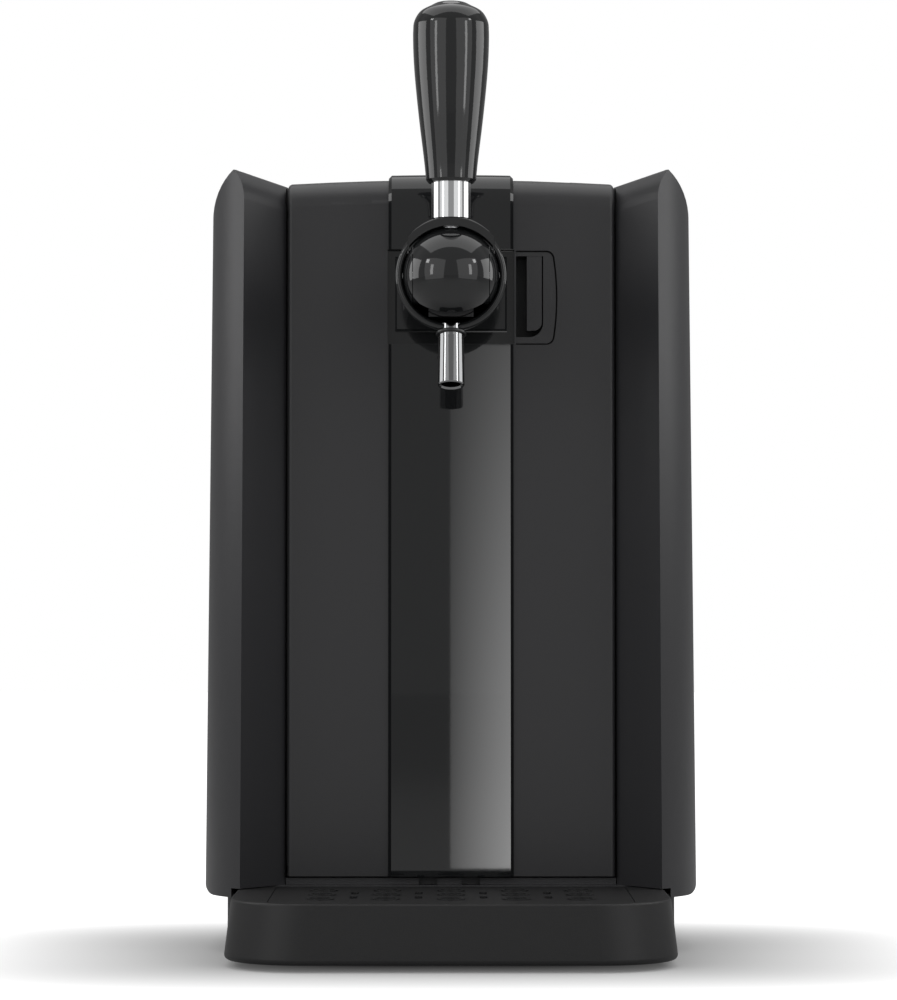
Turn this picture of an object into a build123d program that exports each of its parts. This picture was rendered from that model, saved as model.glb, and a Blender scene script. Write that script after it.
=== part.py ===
from build123d import *
import os
from math import cos, radians, sin, sqrt

os.makedirs("parts", exist_ok=True)

# Counter-top dispenser for mini kegs. Millimetres; X right, Y back, Z up.
# The origin is on the counter, under the middle of the overall box.

# ---- driving dimensions -------------------------------------------------------------------
# Body
front_y = -222.2  # front of the drip tray
rear_y = 220.4  # outside of the rear panel
proud_rear = 1.6  # how far the inlet, switch and screws stand off it
body_half_width = 132.4  # at the foot of the side shells
body_lean = 3.5  # how far each side leans in over body_height
body_height = 381.8  # side shells, from their foot to the root of the wings
shell_wall = 3.0
shell_bottom_z = 29.8
beyond = 600.0  # past every piece, for cuts that go right through
bottom_edge_radius = 6.3
rear_corner_radius = 30.0
rear_top_radius = 34.0
rear_top_rise = 4.0  # top of that round over the wing root

# Wings in front of the door
wing_radius = 65.4
wing_tangent_y = -80.0
wing_sweep_deg = 62.0
pocket_half = 88.75  # half the width between the wings at their root
seam_half = pocket_half - 2.75  # side shells meet top cover, frame and rear panel here
hinge_relief = 0.5  # hollow in the pocket wall beside the hinge
wing_root_y = -99.0
crest_half = pocket_half + 22.25
crest_y = -128.0
crown_edge_z = shell_bottom_z + body_height  # top surface at the wing root
rear_edge_z = crown_edge_z + rear_top_rise - rear_top_radius  # where the rear wall ends
crown_slope = 0.205  # rise of the wing's top towards the crest
crown_rise = 2.5  # extra height of cover and door at the middle
wing_top_radius = 19.0
shoulder_radius = 33.0
shoulder_z = crown_edge_z - 22.1
shoulder_swell = 0.1  # keeps the shoulder arc clear of just grazing the side

# Door
door_face_y = -102.0
door_half = pocket_half - 0.85
door_rear_half = door_half - 2.5
door_step_y = -86.0
door_back_y = -76.0
door_bottom_z = 39.3
door_skin = 3.0
door_top_radius = 14.0
door_edge_radius = 2.5
door_liner_thickness = 2.5
gasket_width = 4.4
gasket_gap = 0.4  # between the gasket and the front frame

# Hinge on the left
hinge_x = 6.25 - pocket_half
hinge_y = -97.0
hinge_pin_radius = 1.8
hinge_eye_radius = 3.2
hinge_arm_thickness = 3.0
hinge_levels = {"lower": door_bottom_z + 3.3, "upper": crown_edge_z - 18.1}
hinge_pin_length = 12.0
running_gap = 0.05
slot_gap = 0.6

# Strip, window and finger grip on the door
strip_half = 33.5
strip_proud = 2.7
strip_bevel = 1.6
window_half = 34.0
window_low_z = crown_edge_z - 87.4
window_high_z = window_low_z + 50.8
plate_half = window_half - 4.0
plate_low_z = window_low_z + 6.9
plate_high_z = window_high_z - 4.0
plate_floor_y = door_face_y + 3.8
plate_face_y = door_face_y - 1.2
plate_bevel = 1.0
grip_low_z = window_low_z - 0.5
grip_high_z = window_high_z - 0.6
grip_right = 57.2
grip_bow = 2.2
grip_radius = 4.5
grip_gap = 0.8
grip_recess = 0.7
grip_depth = 17.0
grip_wall = 1.8
divider = 0.9
slot_low_z = grip_low_z + 4.2
slot_high_z = grip_high_z - 2.9
slot_right = grip_right - 7.7
slot_radius = 7.5
bar_low_z = slot_low_z + 3.5
bar_thickness = 5.0

# Housing inside
frame_y = -69.0  # face that the gasket meets
chamber_half = seam_half - 4.0
chamber_rear_y = 98.0
chamber_low_z = 46.5
chamber_high_z = crown_edge_z - 33.6
chamber_corner = 30.0
liner_wall = 1.5
foam_rear_y = 128.0
foam_top_z = chamber_high_z + 10.0
foam_gap = 0.5
coupler_y = 40.0
coupler_radius = 3.4
coupler_top_z = foam_top_z - 2.0
deck_z = 34.7
plinth_half = body_half_width - 12.4
plinth_front_y = -104.0
plinth_rear_y = rear_y - 8.4
plinth_low_z = 4.0
foot_radius = 11.0

# Drip tray
tray_half_top = 112.5
tray_half_foot = 116.1
tray_low_z = 3.6
tray_top_z = 34.2
tray_rear_y = -105.0
tray_front_radius = 40.0
tray_rear_radius = 8.0
tray_wall = 3.0
grid_half = 92.5
grid_thickness = 3.0
grid_rim = 5.0
grid_gap = 0.4
ring_pitch_x = 33.3
ring_pitch_y = 27.0
ring_radius = 7.2

# Tap, measured from the middle of its ball
ball_y = -187.0
ball_z = window_low_z + 28.2
ball_radius = 24.9
ball_wall = 2.5
ball_band_half = 19.4
cheek_gap = 0.35
cup_inner = ball_radius + 0.3
cup_outer = 28.6
cup_rim = -3.6
lip_bulge = 1.3  # the cup's rounded lip stands this far in front of its rim
barrel_radius = 18.5
barrel_flange_radius = 22.0
spigot_radius = 17.5
beer_line_drop = 11.0
beer_line_radius = 4.5
pivot_radius = 2.0
hood_half = 21.9
hood_edge = 20.7
hood_skirt = 13.4
hood_crown = 30.8
hood_inner = 26.7
hood_span_deg = 40.0
cam_base_radius = 9.55
cam_start = 1.0
cam_half = 5.0
slider_front = 7.0
slider_back = 12.0
spout_lean_deg = 15.6
spout_length = 34.6
spout_radius = 6.5
spout_bore = 5.2
stud_radius = 3.4
stud_top = 41.0
handle_bottom = 47.8
handle_seam = 124.5
handle_top = 141.3
grip_top_radius = 19.55
ferrule_radius = 10.2

keeper_thickness = 1.6
cup_rear = 17.0
spigot_rear_y = -66.0
pin_half = 27.0
nut_radius = 20.5
nut_thickness = 5.5
valve_half = 11.5
slider_half = 8.2
collar_start = 5.6
collar_radius = 7.7
collar_thickness = 1.8
band_rear_deg = -42.0
band_span_deg = 185.0
hub_radius = 4.6
cam_lift = 6.2
spring_radius = 2.5
spring_wire = 0.7

# Rear machinery
heat_sink_z = 232.0
heat_sink_half = 56.0
fan_hub_radius = 16.0
fan_tip_radius = 40.0
fan_bore_radius = 41.5
louvre_pitch = 8.0
louvre_height = 3.6
screw_radius = 1.5
inlet_x = 18.0
inlet_z = 62.0
switch_x = 50.0


# ---- shared shapes ------------------------------------------------------------------------
def block(x_span, y_span, z_span, mode=Mode.ADD):
    """A block between two corners, in the builder that is open."""
    middle = [(a + b) / 2 for a, b in (x_span, y_span, z_span)]
    with Locations(tuple(middle)):
        Box(*[b - a for a, b in (x_span, y_span, z_span)], mode=mode)


def finish(builder, name):
    """Label a finished piece and write it under its node name."""
    builder.part.label = name
    export_step(builder.part, f"parts/{name}.step")


def side_at(level):
    """Half the body's width at one height."""
    return body_half_width - body_lean * (level - shell_bottom_z) / body_height


def plan_face(level, inset):
    """Right half of the body's plan at one height, with its wing left long at the front."""
    side = side_at(level) - inset
    wing_centre = side + inset - wing_radius
    with BuildSketch(Plane.XY.offset(level)) as plan:
        with BuildLine():
            wing = CenterArc(
                (wing_centre, wing_tangent_y), wing_radius - inset, 0, -wing_sweep_deg
            )
            corner_centre = (side + inset - rear_corner_radius, rear_y - rear_corner_radius)
            corner = CenterArc(corner_centre, rear_corner_radius - inset, 0, 90)
            Line(wing @ 0, corner @ 0)
            Polyline(corner @ 1, (0, rear_y - inset), (0, (wing @ 1).Y), wing @ 1)
        make_face()
    return plan.sketch


def shoulder_form(inset):
    """Everything inside the front view's shoulder arc and rounded bottom edge, x > 0."""
    top_side = side_at(shoulder_z) + shoulder_swell
    low_side = body_half_width + shoulder_swell
    bottom = shell_bottom_z + inset
    edge = bottom_edge_radius - inset
    with BuildPart() as form:
        with BuildSketch(Plane.XZ.offset(-rear_y - 10)):
            with BuildLine():
                shoulder_centre = (top_side - shoulder_radius, shoulder_z)
                shoulder = CenterArc(shoulder_centre, shoulder_radius - inset, 0, 70)
                low_centre = (low_side - bottom_edge_radius, shell_bottom_z + bottom_edge_radius)
                low = CenterArc(low_centre, edge, 0, -90)
                Line(shoulder @ 0, low @ 0)
                Polyline(
                    low @ 1, (0, bottom), (0, (shoulder @ 1).Y), shoulder @ 1
                )
            make_face()
        extrude(amount=2 * rear_y + 20)
    return form.part


def rear_form(inset):
    """Everything in front of the rear wall and its rounded top edge."""
    top = shoulder_z + shoulder_radius
    with BuildPart() as form:
        with BuildSketch(Plane.YZ):
            with BuildLine():
                centre = (rear_y - rear_top_radius, rear_edge_z)
                round_edge = CenterArc(centre, rear_top_radius - inset, 0, 90)
                Polyline(
                    round_edge @ 1,
                    (centre[0] - 10, top + 10),
                    (front_y, top + 10),
                    (front_y, 0),
                    (rear_y - inset, 0),
                    round_edge @ 0,
                )
            make_face()
        extrude(amount=body_half_width + 10, both=True)
    return form.part


def wing_form(inset):
    """Everything behind the slanted wing face and below its top, which it rounds into."""
    slant = Vector(crest_half - pocket_half, crest_y - wing_root_y, 0).normalized()
    inward = Vector(-slant.Y, slant.X, 0)
    root = Vector(pocket_half, wing_root_y, 0)
    reach_back, reach = 290.0, 350.0
    rise = crown_slope * slant.X
    start = root - slant * reach_back
    section_plane = Plane(origin=start, x_dir=inward, z_dir=slant)
    root_z = crown_edge_z - inset * 1.02 - rise * reach_back
    side_slope = crown_slope * inward.X
    with BuildPart() as form:
        with BuildSketch(section_plane):
            with BuildLine():
                Polyline(
                    (inset, root_z - 150),
                    (inset, root_z + side_slope * inset),
                    (reach, root_z + side_slope * reach),
                    (reach, root_z - 150),
                    close=True,
                )
            make_face()
            upper = vertices().sort_by(Axis.Y)[-2:]
            fillet(upper.sort_by(Axis.X)[0], wing_top_radius - inset)
        extrude(amount=reach * sqrt(1 + rise**2), dir=slant + Vector(0, 0, rise))
    with BuildPart() as lower:
        with BuildSketch(section_plane):
            with BuildLine():
                top = shoulder_z - 60
                Polyline((inset, -10), (inset, top), (reach, top), (reach, -10), close=True)
            make_face()
        extrude(amount=reach)
        add(form.part)
    return lower.part


def side_form(inset):
    """Right-hand body volume, with every outside face moved in by inset."""
    with BuildPart() as form:
        loft([plan_face(shell_bottom_z - 5, inset), plan_face(crown_edge_z + 20, inset)])
        add(shoulder_form(inset), mode=Mode.INTERSECT)
        add(rear_form(inset), mode=Mode.INTERSECT)
        add(wing_form(inset), mode=Mode.INTERSECT)
        block((-10, pocket_half + inset), (front_y, frame_y + inset), (0, beyond), Mode.SUBTRACT)
        block((0, pocket_half + hinge_relief + inset), (wing_root_y + 0.6, door_step_y), (0, beyond),
              Mode.SUBTRACT)
    return form.part


def crown_form(inset, front, low_z, half):
    """Middle of the body under the shallow crown, from front back to the rear wall."""
    edge = crown_edge_z - inset - crown_slope * (pocket_half - half)
    with BuildPart() as form:
        with BuildSketch(Plane.XZ.offset(-rear_y)):
            with BuildLine():
                crown = ThreePointArc(
                    (-half, edge), (0, edge + crown_rise), (half, edge)
                )
                Polyline(crown @ 1, (half, low_z), (-half, low_z), crown @ 0)
            make_face()
        extrude(amount=rear_y - front)
        add(rear_form(inset), mode=Mode.INTERSECT)
    return form.part


def door_form(inset, back_y):
    """The door's outer form: wide front with rounded edges, narrower behind the step."""
    edge = crown_edge_z - inset
    half = door_half - inset
    rear_half = door_rear_half - inset
    face_y = door_face_y + inset
    with BuildPart() as form:
        with BuildSketch(Plane.XZ.offset(-face_y)):
            with BuildLine():
                crown = ThreePointArc((-half, edge), (0, edge + crown_rise), (half, edge))
                low = door_bottom_z + inset
                Polyline(crown @ 1, (half, low), (-half, low), crown @ 0)
            make_face()
        extrude(amount=face_y - back_y)
        fillet(
            form.edges().group_by(Axis.Y)[0].sort_by(Axis.Z)[-1], door_top_radius - inset
        )
        # The inside corners behind a skin thicker than the radius stay sharp.
        if inset < door_edge_radius:
            uprights = form.edges().group_by(Axis.Y)[0].filter_by(Axis.Z)
            fillet(uprights, door_edge_radius - inset)
        for side in (-1, 1):
            spans = sorted((side * rear_half, side * (door_half + 5)))
            step = (door_step_y - inset, back_y + 1)
            block(spans, step, (0, beyond), Mode.SUBTRACT)
    return form.part


# ---- side shells --------------------------------------------------------------------------
lip_span = (seam_half - 10, seam_half + 4)
screw_levels = (60.0, (60.0 + rear_edge_z - 31.0) / 2, rear_edge_z - 31.0)

with BuildPart() as side_shell_right:
    add(side_form(0))
    add(side_form(shell_wall), mode=Mode.SUBTRACT)
    block((-10, seam_half), (front_y, rear_y + 5), (0, beyond), Mode.SUBTRACT)
    # The foot is open over the plinth and clears the drip tray.
    block((0, plinth_half - 4), (front_y, rear_y - shell_wall), (0, deck_z), Mode.SUBTRACT)
    # A lip behind the rear panel takes its screws.
    block(lip_span, (rear_y - 2 * shell_wall, rear_y - shell_wall), (deck_z + 10, rear_edge_z - 20))
    with Locations(
        *[Pos(seam_half - 5, rear_y - 4.5, z) * Rot(X=90) for z in screw_levels]
    ):
        Hole(screw_radius)

with BuildPart() as side_shell_left:
    add(mirror(side_shell_right.part, about=Plane.YZ))

finish(side_shell_right, "side_shell_right")
finish(side_shell_left, "side_shell_left")

# ---- top cover with the display -----------------------------------------------------------
display_y = -34.0
display_size = (52.0, 26.0)

with BuildPart() as top_cover:
    add(crown_form(0, frame_y, rear_edge_z, seam_half))
    add(crown_form(shell_wall, frame_y - 5, rear_edge_z - 5, seam_half + 5), mode=Mode.SUBTRACT)
    display_x = (-display_size[0] / 2, display_size[0] / 2)
    display_span = (display_y - display_size[1] / 2, display_y + display_size[1] / 2)
    block(display_x, display_span, (rear_edge_z, beyond), Mode.SUBTRACT)
finish(top_cover, "top_cover")

window_rear_y = 60.0
with BuildPart() as display_window:
    add(crown_form(-strip_proud, frame_y, foam_top_z, seam_half))
    block((-beyond, -strip_half), (-beyond, beyond), (0, beyond), Mode.SUBTRACT)
    block((strip_half, beyond), (-beyond, beyond), (0, beyond), Mode.SUBTRACT)
    block((-beyond, beyond), (window_rear_y, beyond), (0, beyond), Mode.SUBTRACT)
    chamfer(
        display_window.faces().sort_by(Axis.Z)[-1].edges().filter_by(GeomType.LINE),
        strip_bevel,
    )
    add(crown_form(0, frame_y - 5, foam_top_z - 5, seam_half), mode=Mode.SUBTRACT)
finish(display_window, "display_window")

with BuildPart() as display_module:
    module_top = crown_edge_z + crown_rise - 1.6
    block(display_x, display_span, (module_top - 7, module_top))
    block((-34, 34), (display_y - 18, display_y + 18), (module_top - 8.6, module_top - 7))
finish(display_module, "display_module")

# ---- rear panel ---------------------------------------------------------------------------
with BuildPart() as rear_panel:
    block((-seam_half, seam_half), (rear_y - shell_wall, rear_y), (deck_z, rear_edge_z))
    with BuildSketch(Plane.XZ.offset(-rear_y)):
        with Locations((0, heat_sink_z)):
            with GridLocations(0, louvre_pitch, 1, 12):
                SlotOverall(96, louvre_height)
        with Locations((-38, inlet_z + 6)):
            with GridLocations(0, louvre_pitch, 1, 5):
                SlotOverall(64, louvre_height)
        with Locations((inlet_x, inlet_z)):
            Rectangle(28, 22)
        with Locations((switch_x, inlet_z)):
            Rectangle(15, 22)
    extrude(amount=shell_wall, mode=Mode.SUBTRACT)
    panel_screws = [
        Pos(side * (seam_half - 5), rear_y, z) * Rot(X=90)
        for side in (-1, 1)
        for z in screw_levels
    ]
    with Locations(*panel_screws):
        Hole(screw_radius)
finish(rear_panel, "rear_panel")

with BuildPart() as panel_screw:
    with BuildSketch(Plane.XY):
        Circle(3.6)
    extrude(amount=proud_rear)
    fillet(panel_screw.edges().sort_by(Axis.Z)[-1], 0.9)
    with BuildSketch(Plane.XY.offset(proud_rear)):
        RegularPolygon(1.4, 6)
    extrude(amount=-1.0, mode=Mode.SUBTRACT)
    with BuildSketch(Plane.XY):
        Circle(screw_radius)
    extrude(amount=-9)

with BuildPart() as panel_screws_node:
    for place in panel_screws:
        add(place * Rot(X=180) * panel_screw.part)
finish(panel_screws_node, "panel_screws")

# ---- base ---------------------------------------------------------------------------------
foot_x = plinth_half - 24.0
foot_places = [(x, y) for x in (-foot_x, foot_x) for y in (plinth_front_y + 22, plinth_rear_y - 24)]
tray_hook_x = 70.0
hook_width, hook_low_z, hook_high_z, hook_length = 16.0, 13.0, 19.0, 18.0
hook_gap = 0.4
cell_columns, cell_rows, cell_depth, rib_width, plinth_margin = 5, 6, 24.0, 4.0, 10.0

with BuildPart() as base_plinth:
    with BuildSketch(Plane.XY.offset(plinth_low_z)):
        with Locations((0, (plinth_front_y + plinth_rear_y) / 2)):
            RectangleRounded(2 * plinth_half, plinth_rear_y - plinth_front_y, 14)
    extrude(amount=shell_bottom_z - plinth_low_z)
    with BuildSketch(Plane.XY.offset(shell_bottom_z)):
        with Locations((0, (plinth_front_y + plinth_rear_y) / 2)):
            RectangleRounded(2 * plinth_half - 9, plinth_rear_y - plinth_front_y, 12)
    extrude(amount=deck_z - shell_bottom_z)
    # Ribs stay between rows of open cells underneath.
    cell_x = (2 * plinth_half - plinth_margin) / cell_columns
    cell_y = (plinth_rear_y - tray_rear_y - hook_length - plinth_margin) / cell_rows
    with Locations((0, (plinth_rear_y + tray_rear_y + hook_length) / 2, plinth_low_z)):
        with GridLocations(cell_x, cell_y, cell_columns, cell_rows):
            Box(cell_x - rib_width, cell_y - rib_width, cell_depth,
                align=(Align.CENTER, Align.CENTER, Align.MIN), mode=Mode.SUBTRACT)
    with Locations(*[(x, y, plinth_low_z) for x, y in foot_places]):
        Cylinder(foot_radius + 2, 20, align=(Align.CENTER, Align.CENTER, Align.MIN))
    for side in (-1, 1):
        slot_x = (
            side * tray_hook_x - hook_width / 2 - hook_gap,
            side * tray_hook_x + hook_width / 2 + hook_gap,
        )
        slot_z = (hook_low_z - hook_gap, hook_high_z + hook_gap)
        slot_y = (plinth_front_y - 1, tray_rear_y + hook_length + 1)
        block(slot_x, slot_y, slot_z, Mode.SUBTRACT)
finish(base_plinth, "base_plinth")

with BuildPart() as front_sill:
    sill_top = door_bottom_z - 1.0
    block((-pocket_half + 0.5, pocket_half - 0.5), (wing_root_y, frame_y), (deck_z, sill_top))
    for notch_x in (-12.2, 10.6):
        block((notch_x - 5, notch_x + 5), (wing_root_y - 1, wing_root_y + 4),
              (deck_z - 1, sill_top + 1), Mode.SUBTRACT)
finish(front_sill, "front_sill")

with BuildPart() as rubber_feet:
    with BuildSketch(Plane.XY):
        with Locations(*foot_places):
            Circle(foot_radius)
    extrude(amount=plinth_low_z)
    chamfer(rubber_feet.edges().group_by(Axis.Z)[0], 0.8)
finish(rubber_feet, "rubber_feet")

# ---- chamber ------------------------------------------------------------------------------
gasket_low_z, gasket_high_z = chamber_low_z - 1.0, chamber_high_z + 5.0
gasket_half = seam_half - 1.0
magnet_x = (seam_half - 46.0, seam_half - 22.0)
magnet_z = (gasket_high_z + 4.0, gasket_high_z + 16.0)
frame_top_z = crown_edge_z - crown_slope * (pocket_half - seam_half) - shell_wall - 0.3
opening_half = chamber_half - 0.5
opening_low_z = chamber_low_z + 3.0
opening_high_z = chamber_high_z - 2.0

with BuildPart() as front_frame:
    block((-seam_half, seam_half), (frame_y, frame_y + shell_wall), (deck_z, frame_top_z))
    block(magnet_x, (frame_y - 1, frame_y + keeper_thickness), magnet_z, Mode.SUBTRACT)
    with BuildSketch(Plane.XZ.offset(-frame_y)):
        with Locations((0, (opening_low_z + opening_high_z) / 2)):
            RectangleRounded(2 * opening_half, opening_high_z - opening_low_z, 10)
    extrude(amount=-shell_wall - 1, mode=Mode.SUBTRACT)
finish(front_frame, "front_frame")


def chamber_solid(grow, front):
    """The keg chamber's space, with rear corners that follow the keg."""
    with BuildPart() as space:
        with BuildSketch(Plane.XY.offset(chamber_low_z - grow)):
            half = chamber_half + grow
            with BuildLine():
                Polyline(
                    (-half, front),
                    (half, front),
                    (half, chamber_rear_y + grow),
                    (-half, chamber_rear_y + grow),
                    close=True,
                )
            make_face()
            fillet(vertices().group_by(Axis.Y)[-1], chamber_corner + grow)
        extrude(amount=chamber_high_z - chamber_low_z + 2 * grow)
    return space.part


chamber_front = frame_y + shell_wall
with BuildPart() as chamber_liner:
    add(chamber_solid(liner_wall, chamber_front))
    add(chamber_solid(0, chamber_front - 5), mode=Mode.SUBTRACT)
    with Locations((0, coupler_y, chamber_high_z)):
        Cylinder(coupler_radius + running_gap, 10, mode=Mode.SUBTRACT)
finish(chamber_liner, "chamber_liner")

cold_block_half = 30.0
with BuildPart() as insulation:
    add(side_form(shell_wall + foam_gap))
    add(mirror(insulation.part, about=Plane.YZ))
    block((-beyond, beyond), (foam_rear_y, beyond), (0, beyond), Mode.SUBTRACT)
    block((-beyond, beyond), (-beyond, beyond), (foam_top_z, beyond), Mode.SUBTRACT)
    block((-beyond, beyond), (-beyond, beyond), (0, deck_z), Mode.SUBTRACT)
    add(chamber_solid(liner_wall, chamber_front - 5), mode=Mode.SUBTRACT)
    block((-cold_block_half, cold_block_half), (90, foam_rear_y + 1),
          (heat_sink_z - cold_block_half, heat_sink_z + cold_block_half), Mode.SUBTRACT)
    with Locations((0, coupler_y, foam_top_z)):
        Cylinder(coupler_radius + 2.6, 40, mode=Mode.SUBTRACT)

# The foam is a floor board, a wall that wraps three sides, and a roof board
floor_joint_z = chamber_low_z - liner_wall
roof_joint_z = chamber_high_z + liner_wall
for foam_name, foam_span in (
    ("insulation_floor", (0, floor_joint_z)),
    ("insulation_shell", (floor_joint_z, roof_joint_z)),
    ("insulation_roof", (roof_joint_z, beyond)),
):
    with BuildPart() as foam_board:
        add(insulation.part)
        block((-beyond, beyond), (-beyond, beyond), foam_span, Mode.INTERSECT)
    finish(foam_board, foam_name)

# ---- cooling pack -------------------------------------------------------------------------
block_front = chamber_rear_y + liner_wall
peltier_thickness = 4.0
sink_front = foam_rear_y
with BuildPart() as cold_block:
    block((-cold_block_half, cold_block_half), (block_front, sink_front - peltier_thickness),
          (heat_sink_z - cold_block_half, heat_sink_z + cold_block_half))
finish(cold_block, "cold_block")

with BuildPart() as peltier_module:
    block((-20, 20), (sink_front - peltier_thickness, sink_front),
          (heat_sink_z - 20, heat_sink_z + 20))
finish(peltier_module, "peltier_module")

fin_front, fin_rear = sink_front + 6.0, 164.0
with BuildPart() as heat_sink:
    sink_z = (heat_sink_z - heat_sink_half, heat_sink_z + heat_sink_half)
    block((-heat_sink_half, heat_sink_half), (sink_front, fin_front), sink_z)
    with Locations((0, (fin_front + fin_rear) / 2, heat_sink_z)):
        with GridLocations(8, 1, 15, 1):
            Box(1.6, fin_rear - fin_front, 2 * heat_sink_half)
finish(heat_sink, "heat_sink")

fan_half = 46.0
fan_rear = fin_rear + 25.0
with BuildPart() as fan_frame:
    with BuildSketch(Plane.XZ.offset(-fin_rear)):
        with Locations((0, heat_sink_z)):
            RectangleRounded(2 * fan_half, 2 * fan_half, 5)
            Circle(fan_bore_radius, mode=Mode.SUBTRACT)
    extrude(amount=-(fan_rear - fin_rear))
    # Three spokes carry the motor boss behind the blades.
    with BuildSketch(Plane.XZ.offset(-fan_rear + 3)):
        with Locations((0, heat_sink_z)):
            Circle(fan_hub_radius)
            with PolarLocations((fan_hub_radius + fan_bore_radius) / 2, 3, 90):
                Rectangle(fan_bore_radius - fan_hub_radius + 4, 4)
    extrude(amount=-3)
    with Locations(Pos(0, fan_rear - 3, heat_sink_z) * Rot(X=90)):
        Cylinder(2.5, 14, align=(Align.CENTER, Align.CENTER, Align.MIN))
finish(fan_frame, "fan_frame")

blade_count = 7
blade_front, blade_rear = fin_rear + 5.0, fan_rear - 5.0
with BuildPart() as fan_rotor:
    with BuildSketch(Plane.XZ.offset(-blade_front)):
        with Locations((0, heat_sink_z)):
            Circle(fan_hub_radius)
            Circle(2.5 + running_gap, mode=Mode.SUBTRACT)
    extrude(amount=-(blade_rear - blade_front))
    for turn in range(blade_count):
        hub_plane = Plane(
            origin=(0, (blade_front + blade_rear) / 2, heat_sink_z),
            x_dir=Vector(0, 1, 0),
            z_dir=Vector(1, 0, 0).rotate(Axis.Y, turn * 360 / blade_count),
        )
        for offset, pitch, chord in ((fan_hub_radius - 1.5, 52, 16), (fan_tip_radius, 30, 22)):
            with BuildSketch(hub_plane.offset(offset)):
                with Locations((0, 0, 0)):
                    Rectangle(chord * 0.6, 1.6, rotation=pitch)
        loft()
finish(fan_rotor, "fan_rotor")

# ---- air supply and electrics -------------------------------------------------------------
pump_x, pump_y = 88.0, 168.0
with BuildPart() as air_pump:
    block((pump_x - 17, pump_x + 17), (pump_y - 15, pump_y + 15), (deck_z, deck_z + 5))
    with BuildSketch(Plane.XY.offset(deck_z + 5)):
        with Locations((pump_x, pump_y)):
            Circle(13)
    extrude(amount=38)
    block((pump_x - 15, pump_x + 15), (pump_y - 14, pump_y + 14), (deck_z + 43, deck_z + 60))
    with Locations((pump_x, pump_y, deck_z + 60)):
        Cylinder(2.4, 6, align=(Align.CENTER, Align.CENTER, Align.MIN))
finish(air_pump, "air_pump")

hose_top = foam_top_z + 8.0
hose_route = [
    (pump_x, pump_y, deck_z + 66),
    (pump_x, pump_y, hose_top),
    (0, coupler_y, hose_top),
    (0, coupler_y, coupler_top_z),
]
with BuildPart() as air_hose:
    with BuildLine() as hose_path:
        FilletPolyline(*hose_route, radius=[40, 9])
    with BuildSketch(Plane(origin=hose_path.line @ 0, z_dir=hose_path.line % 0)):
        Circle(3.0)
    sweep()
finish(air_hose, "air_hose")

with BuildPart() as air_coupler:
    with Locations((0, coupler_y, coupler_top_z)):
        Cylinder(coupler_radius, coupler_top_z - chamber_high_z,
                 align=(Align.CENTER, Align.CENTER, Align.MAX))
    with Locations((0, coupler_y, chamber_high_z)):
        Cylinder(11, 5, align=(Align.CENTER, Align.CENTER, Align.MAX))
        Cylinder(6, 20, align=(Align.CENTER, Align.CENTER, Align.MAX))
    with Locations((0, coupler_y, chamber_high_z - 20)):
        Cone(6, 4, 5, align=(Align.CENTER, Align.CENTER, Align.MAX), rotation=(180, 0, 0))
finish(air_coupler, "air_coupler")

with BuildPart() as power_supply:
    block((-112, -28), (138, 202), (deck_z, deck_z + 1.6))
    block((-106, -66), (146, 186), (deck_z + 1.6, deck_z + 34))
    with BuildSketch(Plane.XY.offset(deck_z + 1.6)):
        with Locations((-48, 152), (-48, 172)):
            Circle(8)
    extrude(amount=28)
    block((-60, -34), (188, 198), (deck_z + 1.6, deck_z + 16))
finish(power_supply, "power_supply")

with BuildPart() as control_board:
    block((-58, 58), (70, 118), (foam_top_z, foam_top_z + 1.6))
    with Locations((-30, 94, foam_top_z + 1.6), (20, 88, foam_top_z + 1.6)):
        Box(18, 18, 3, align=(Align.CENTER, Align.CENTER, Align.MIN))
finish(control_board, "control_board")

with BuildPart() as mains_inlet:
    block((inlet_x - 18, inlet_x + 18), (rear_y, rear_y + proud_rear),
          (inlet_z - 14, inlet_z + 14))
    block((inlet_x - 14, inlet_x + 14), (rear_y - 24, rear_y), (inlet_z - 11, inlet_z + 11))
    block((inlet_x - 12, inlet_x + 12), (rear_y - 17, rear_y + 5), (inlet_z - 8, inlet_z + 8),
          Mode.SUBTRACT)
    for pin_x, pin_z in ((-7, -1.5), (0, 2.5), (7, -1.5)):
        block((inlet_x + pin_x - 1, inlet_x + pin_x + 1), (rear_y - 18, rear_y - 3),
              (inlet_z + pin_z - 2, inlet_z + pin_z + 2))
finish(mains_inlet, "mains_inlet")

rocker_pivot_y = rear_y - 6.0
with BuildPart() as switch_bezel:
    block((switch_x - 9.5, switch_x + 9.5), (rear_y, rear_y + proud_rear),
          (inlet_z - 13.5, inlet_z + 13.5))
    block((switch_x - 7.5, switch_x + 7.5), (rear_y - 18, rear_y), (inlet_z - 11, inlet_z + 11))
    block((switch_x - 6, switch_x + 6), (rear_y - 14, rear_y + 5), (inlet_z - 9.6, inlet_z + 9.6),
          Mode.SUBTRACT)
    with Locations(Pos(switch_x, rocker_pivot_y, inlet_z) * Rot(Y=90)):
        Cylinder(1.2, 14)
finish(switch_bezel, "switch_bezel")

rocker_tilt = 9.0
with BuildPart() as rocker_level:
    with BuildSketch(Plane.YZ.offset(switch_x - 5.6)):
        with Locations((rocker_pivot_y + 0.5, inlet_z)):
            Rectangle(10, 17)
        with Locations((rocker_pivot_y + 12, inlet_z)):
            Circle(9, mode=Mode.SUBTRACT)
        with Locations((rocker_pivot_y, inlet_z)):
            Circle(1.2 + running_gap, mode=Mode.SUBTRACT)
    extrude(amount=11.2)
rocker_axis = Axis((0, rocker_pivot_y, inlet_z), (1, 0, 0))
with BuildPart() as power_rocker:
    add(rocker_level.part.rotate(rocker_axis, rocker_tilt))
finish(power_rocker, "power_rocker")

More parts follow.
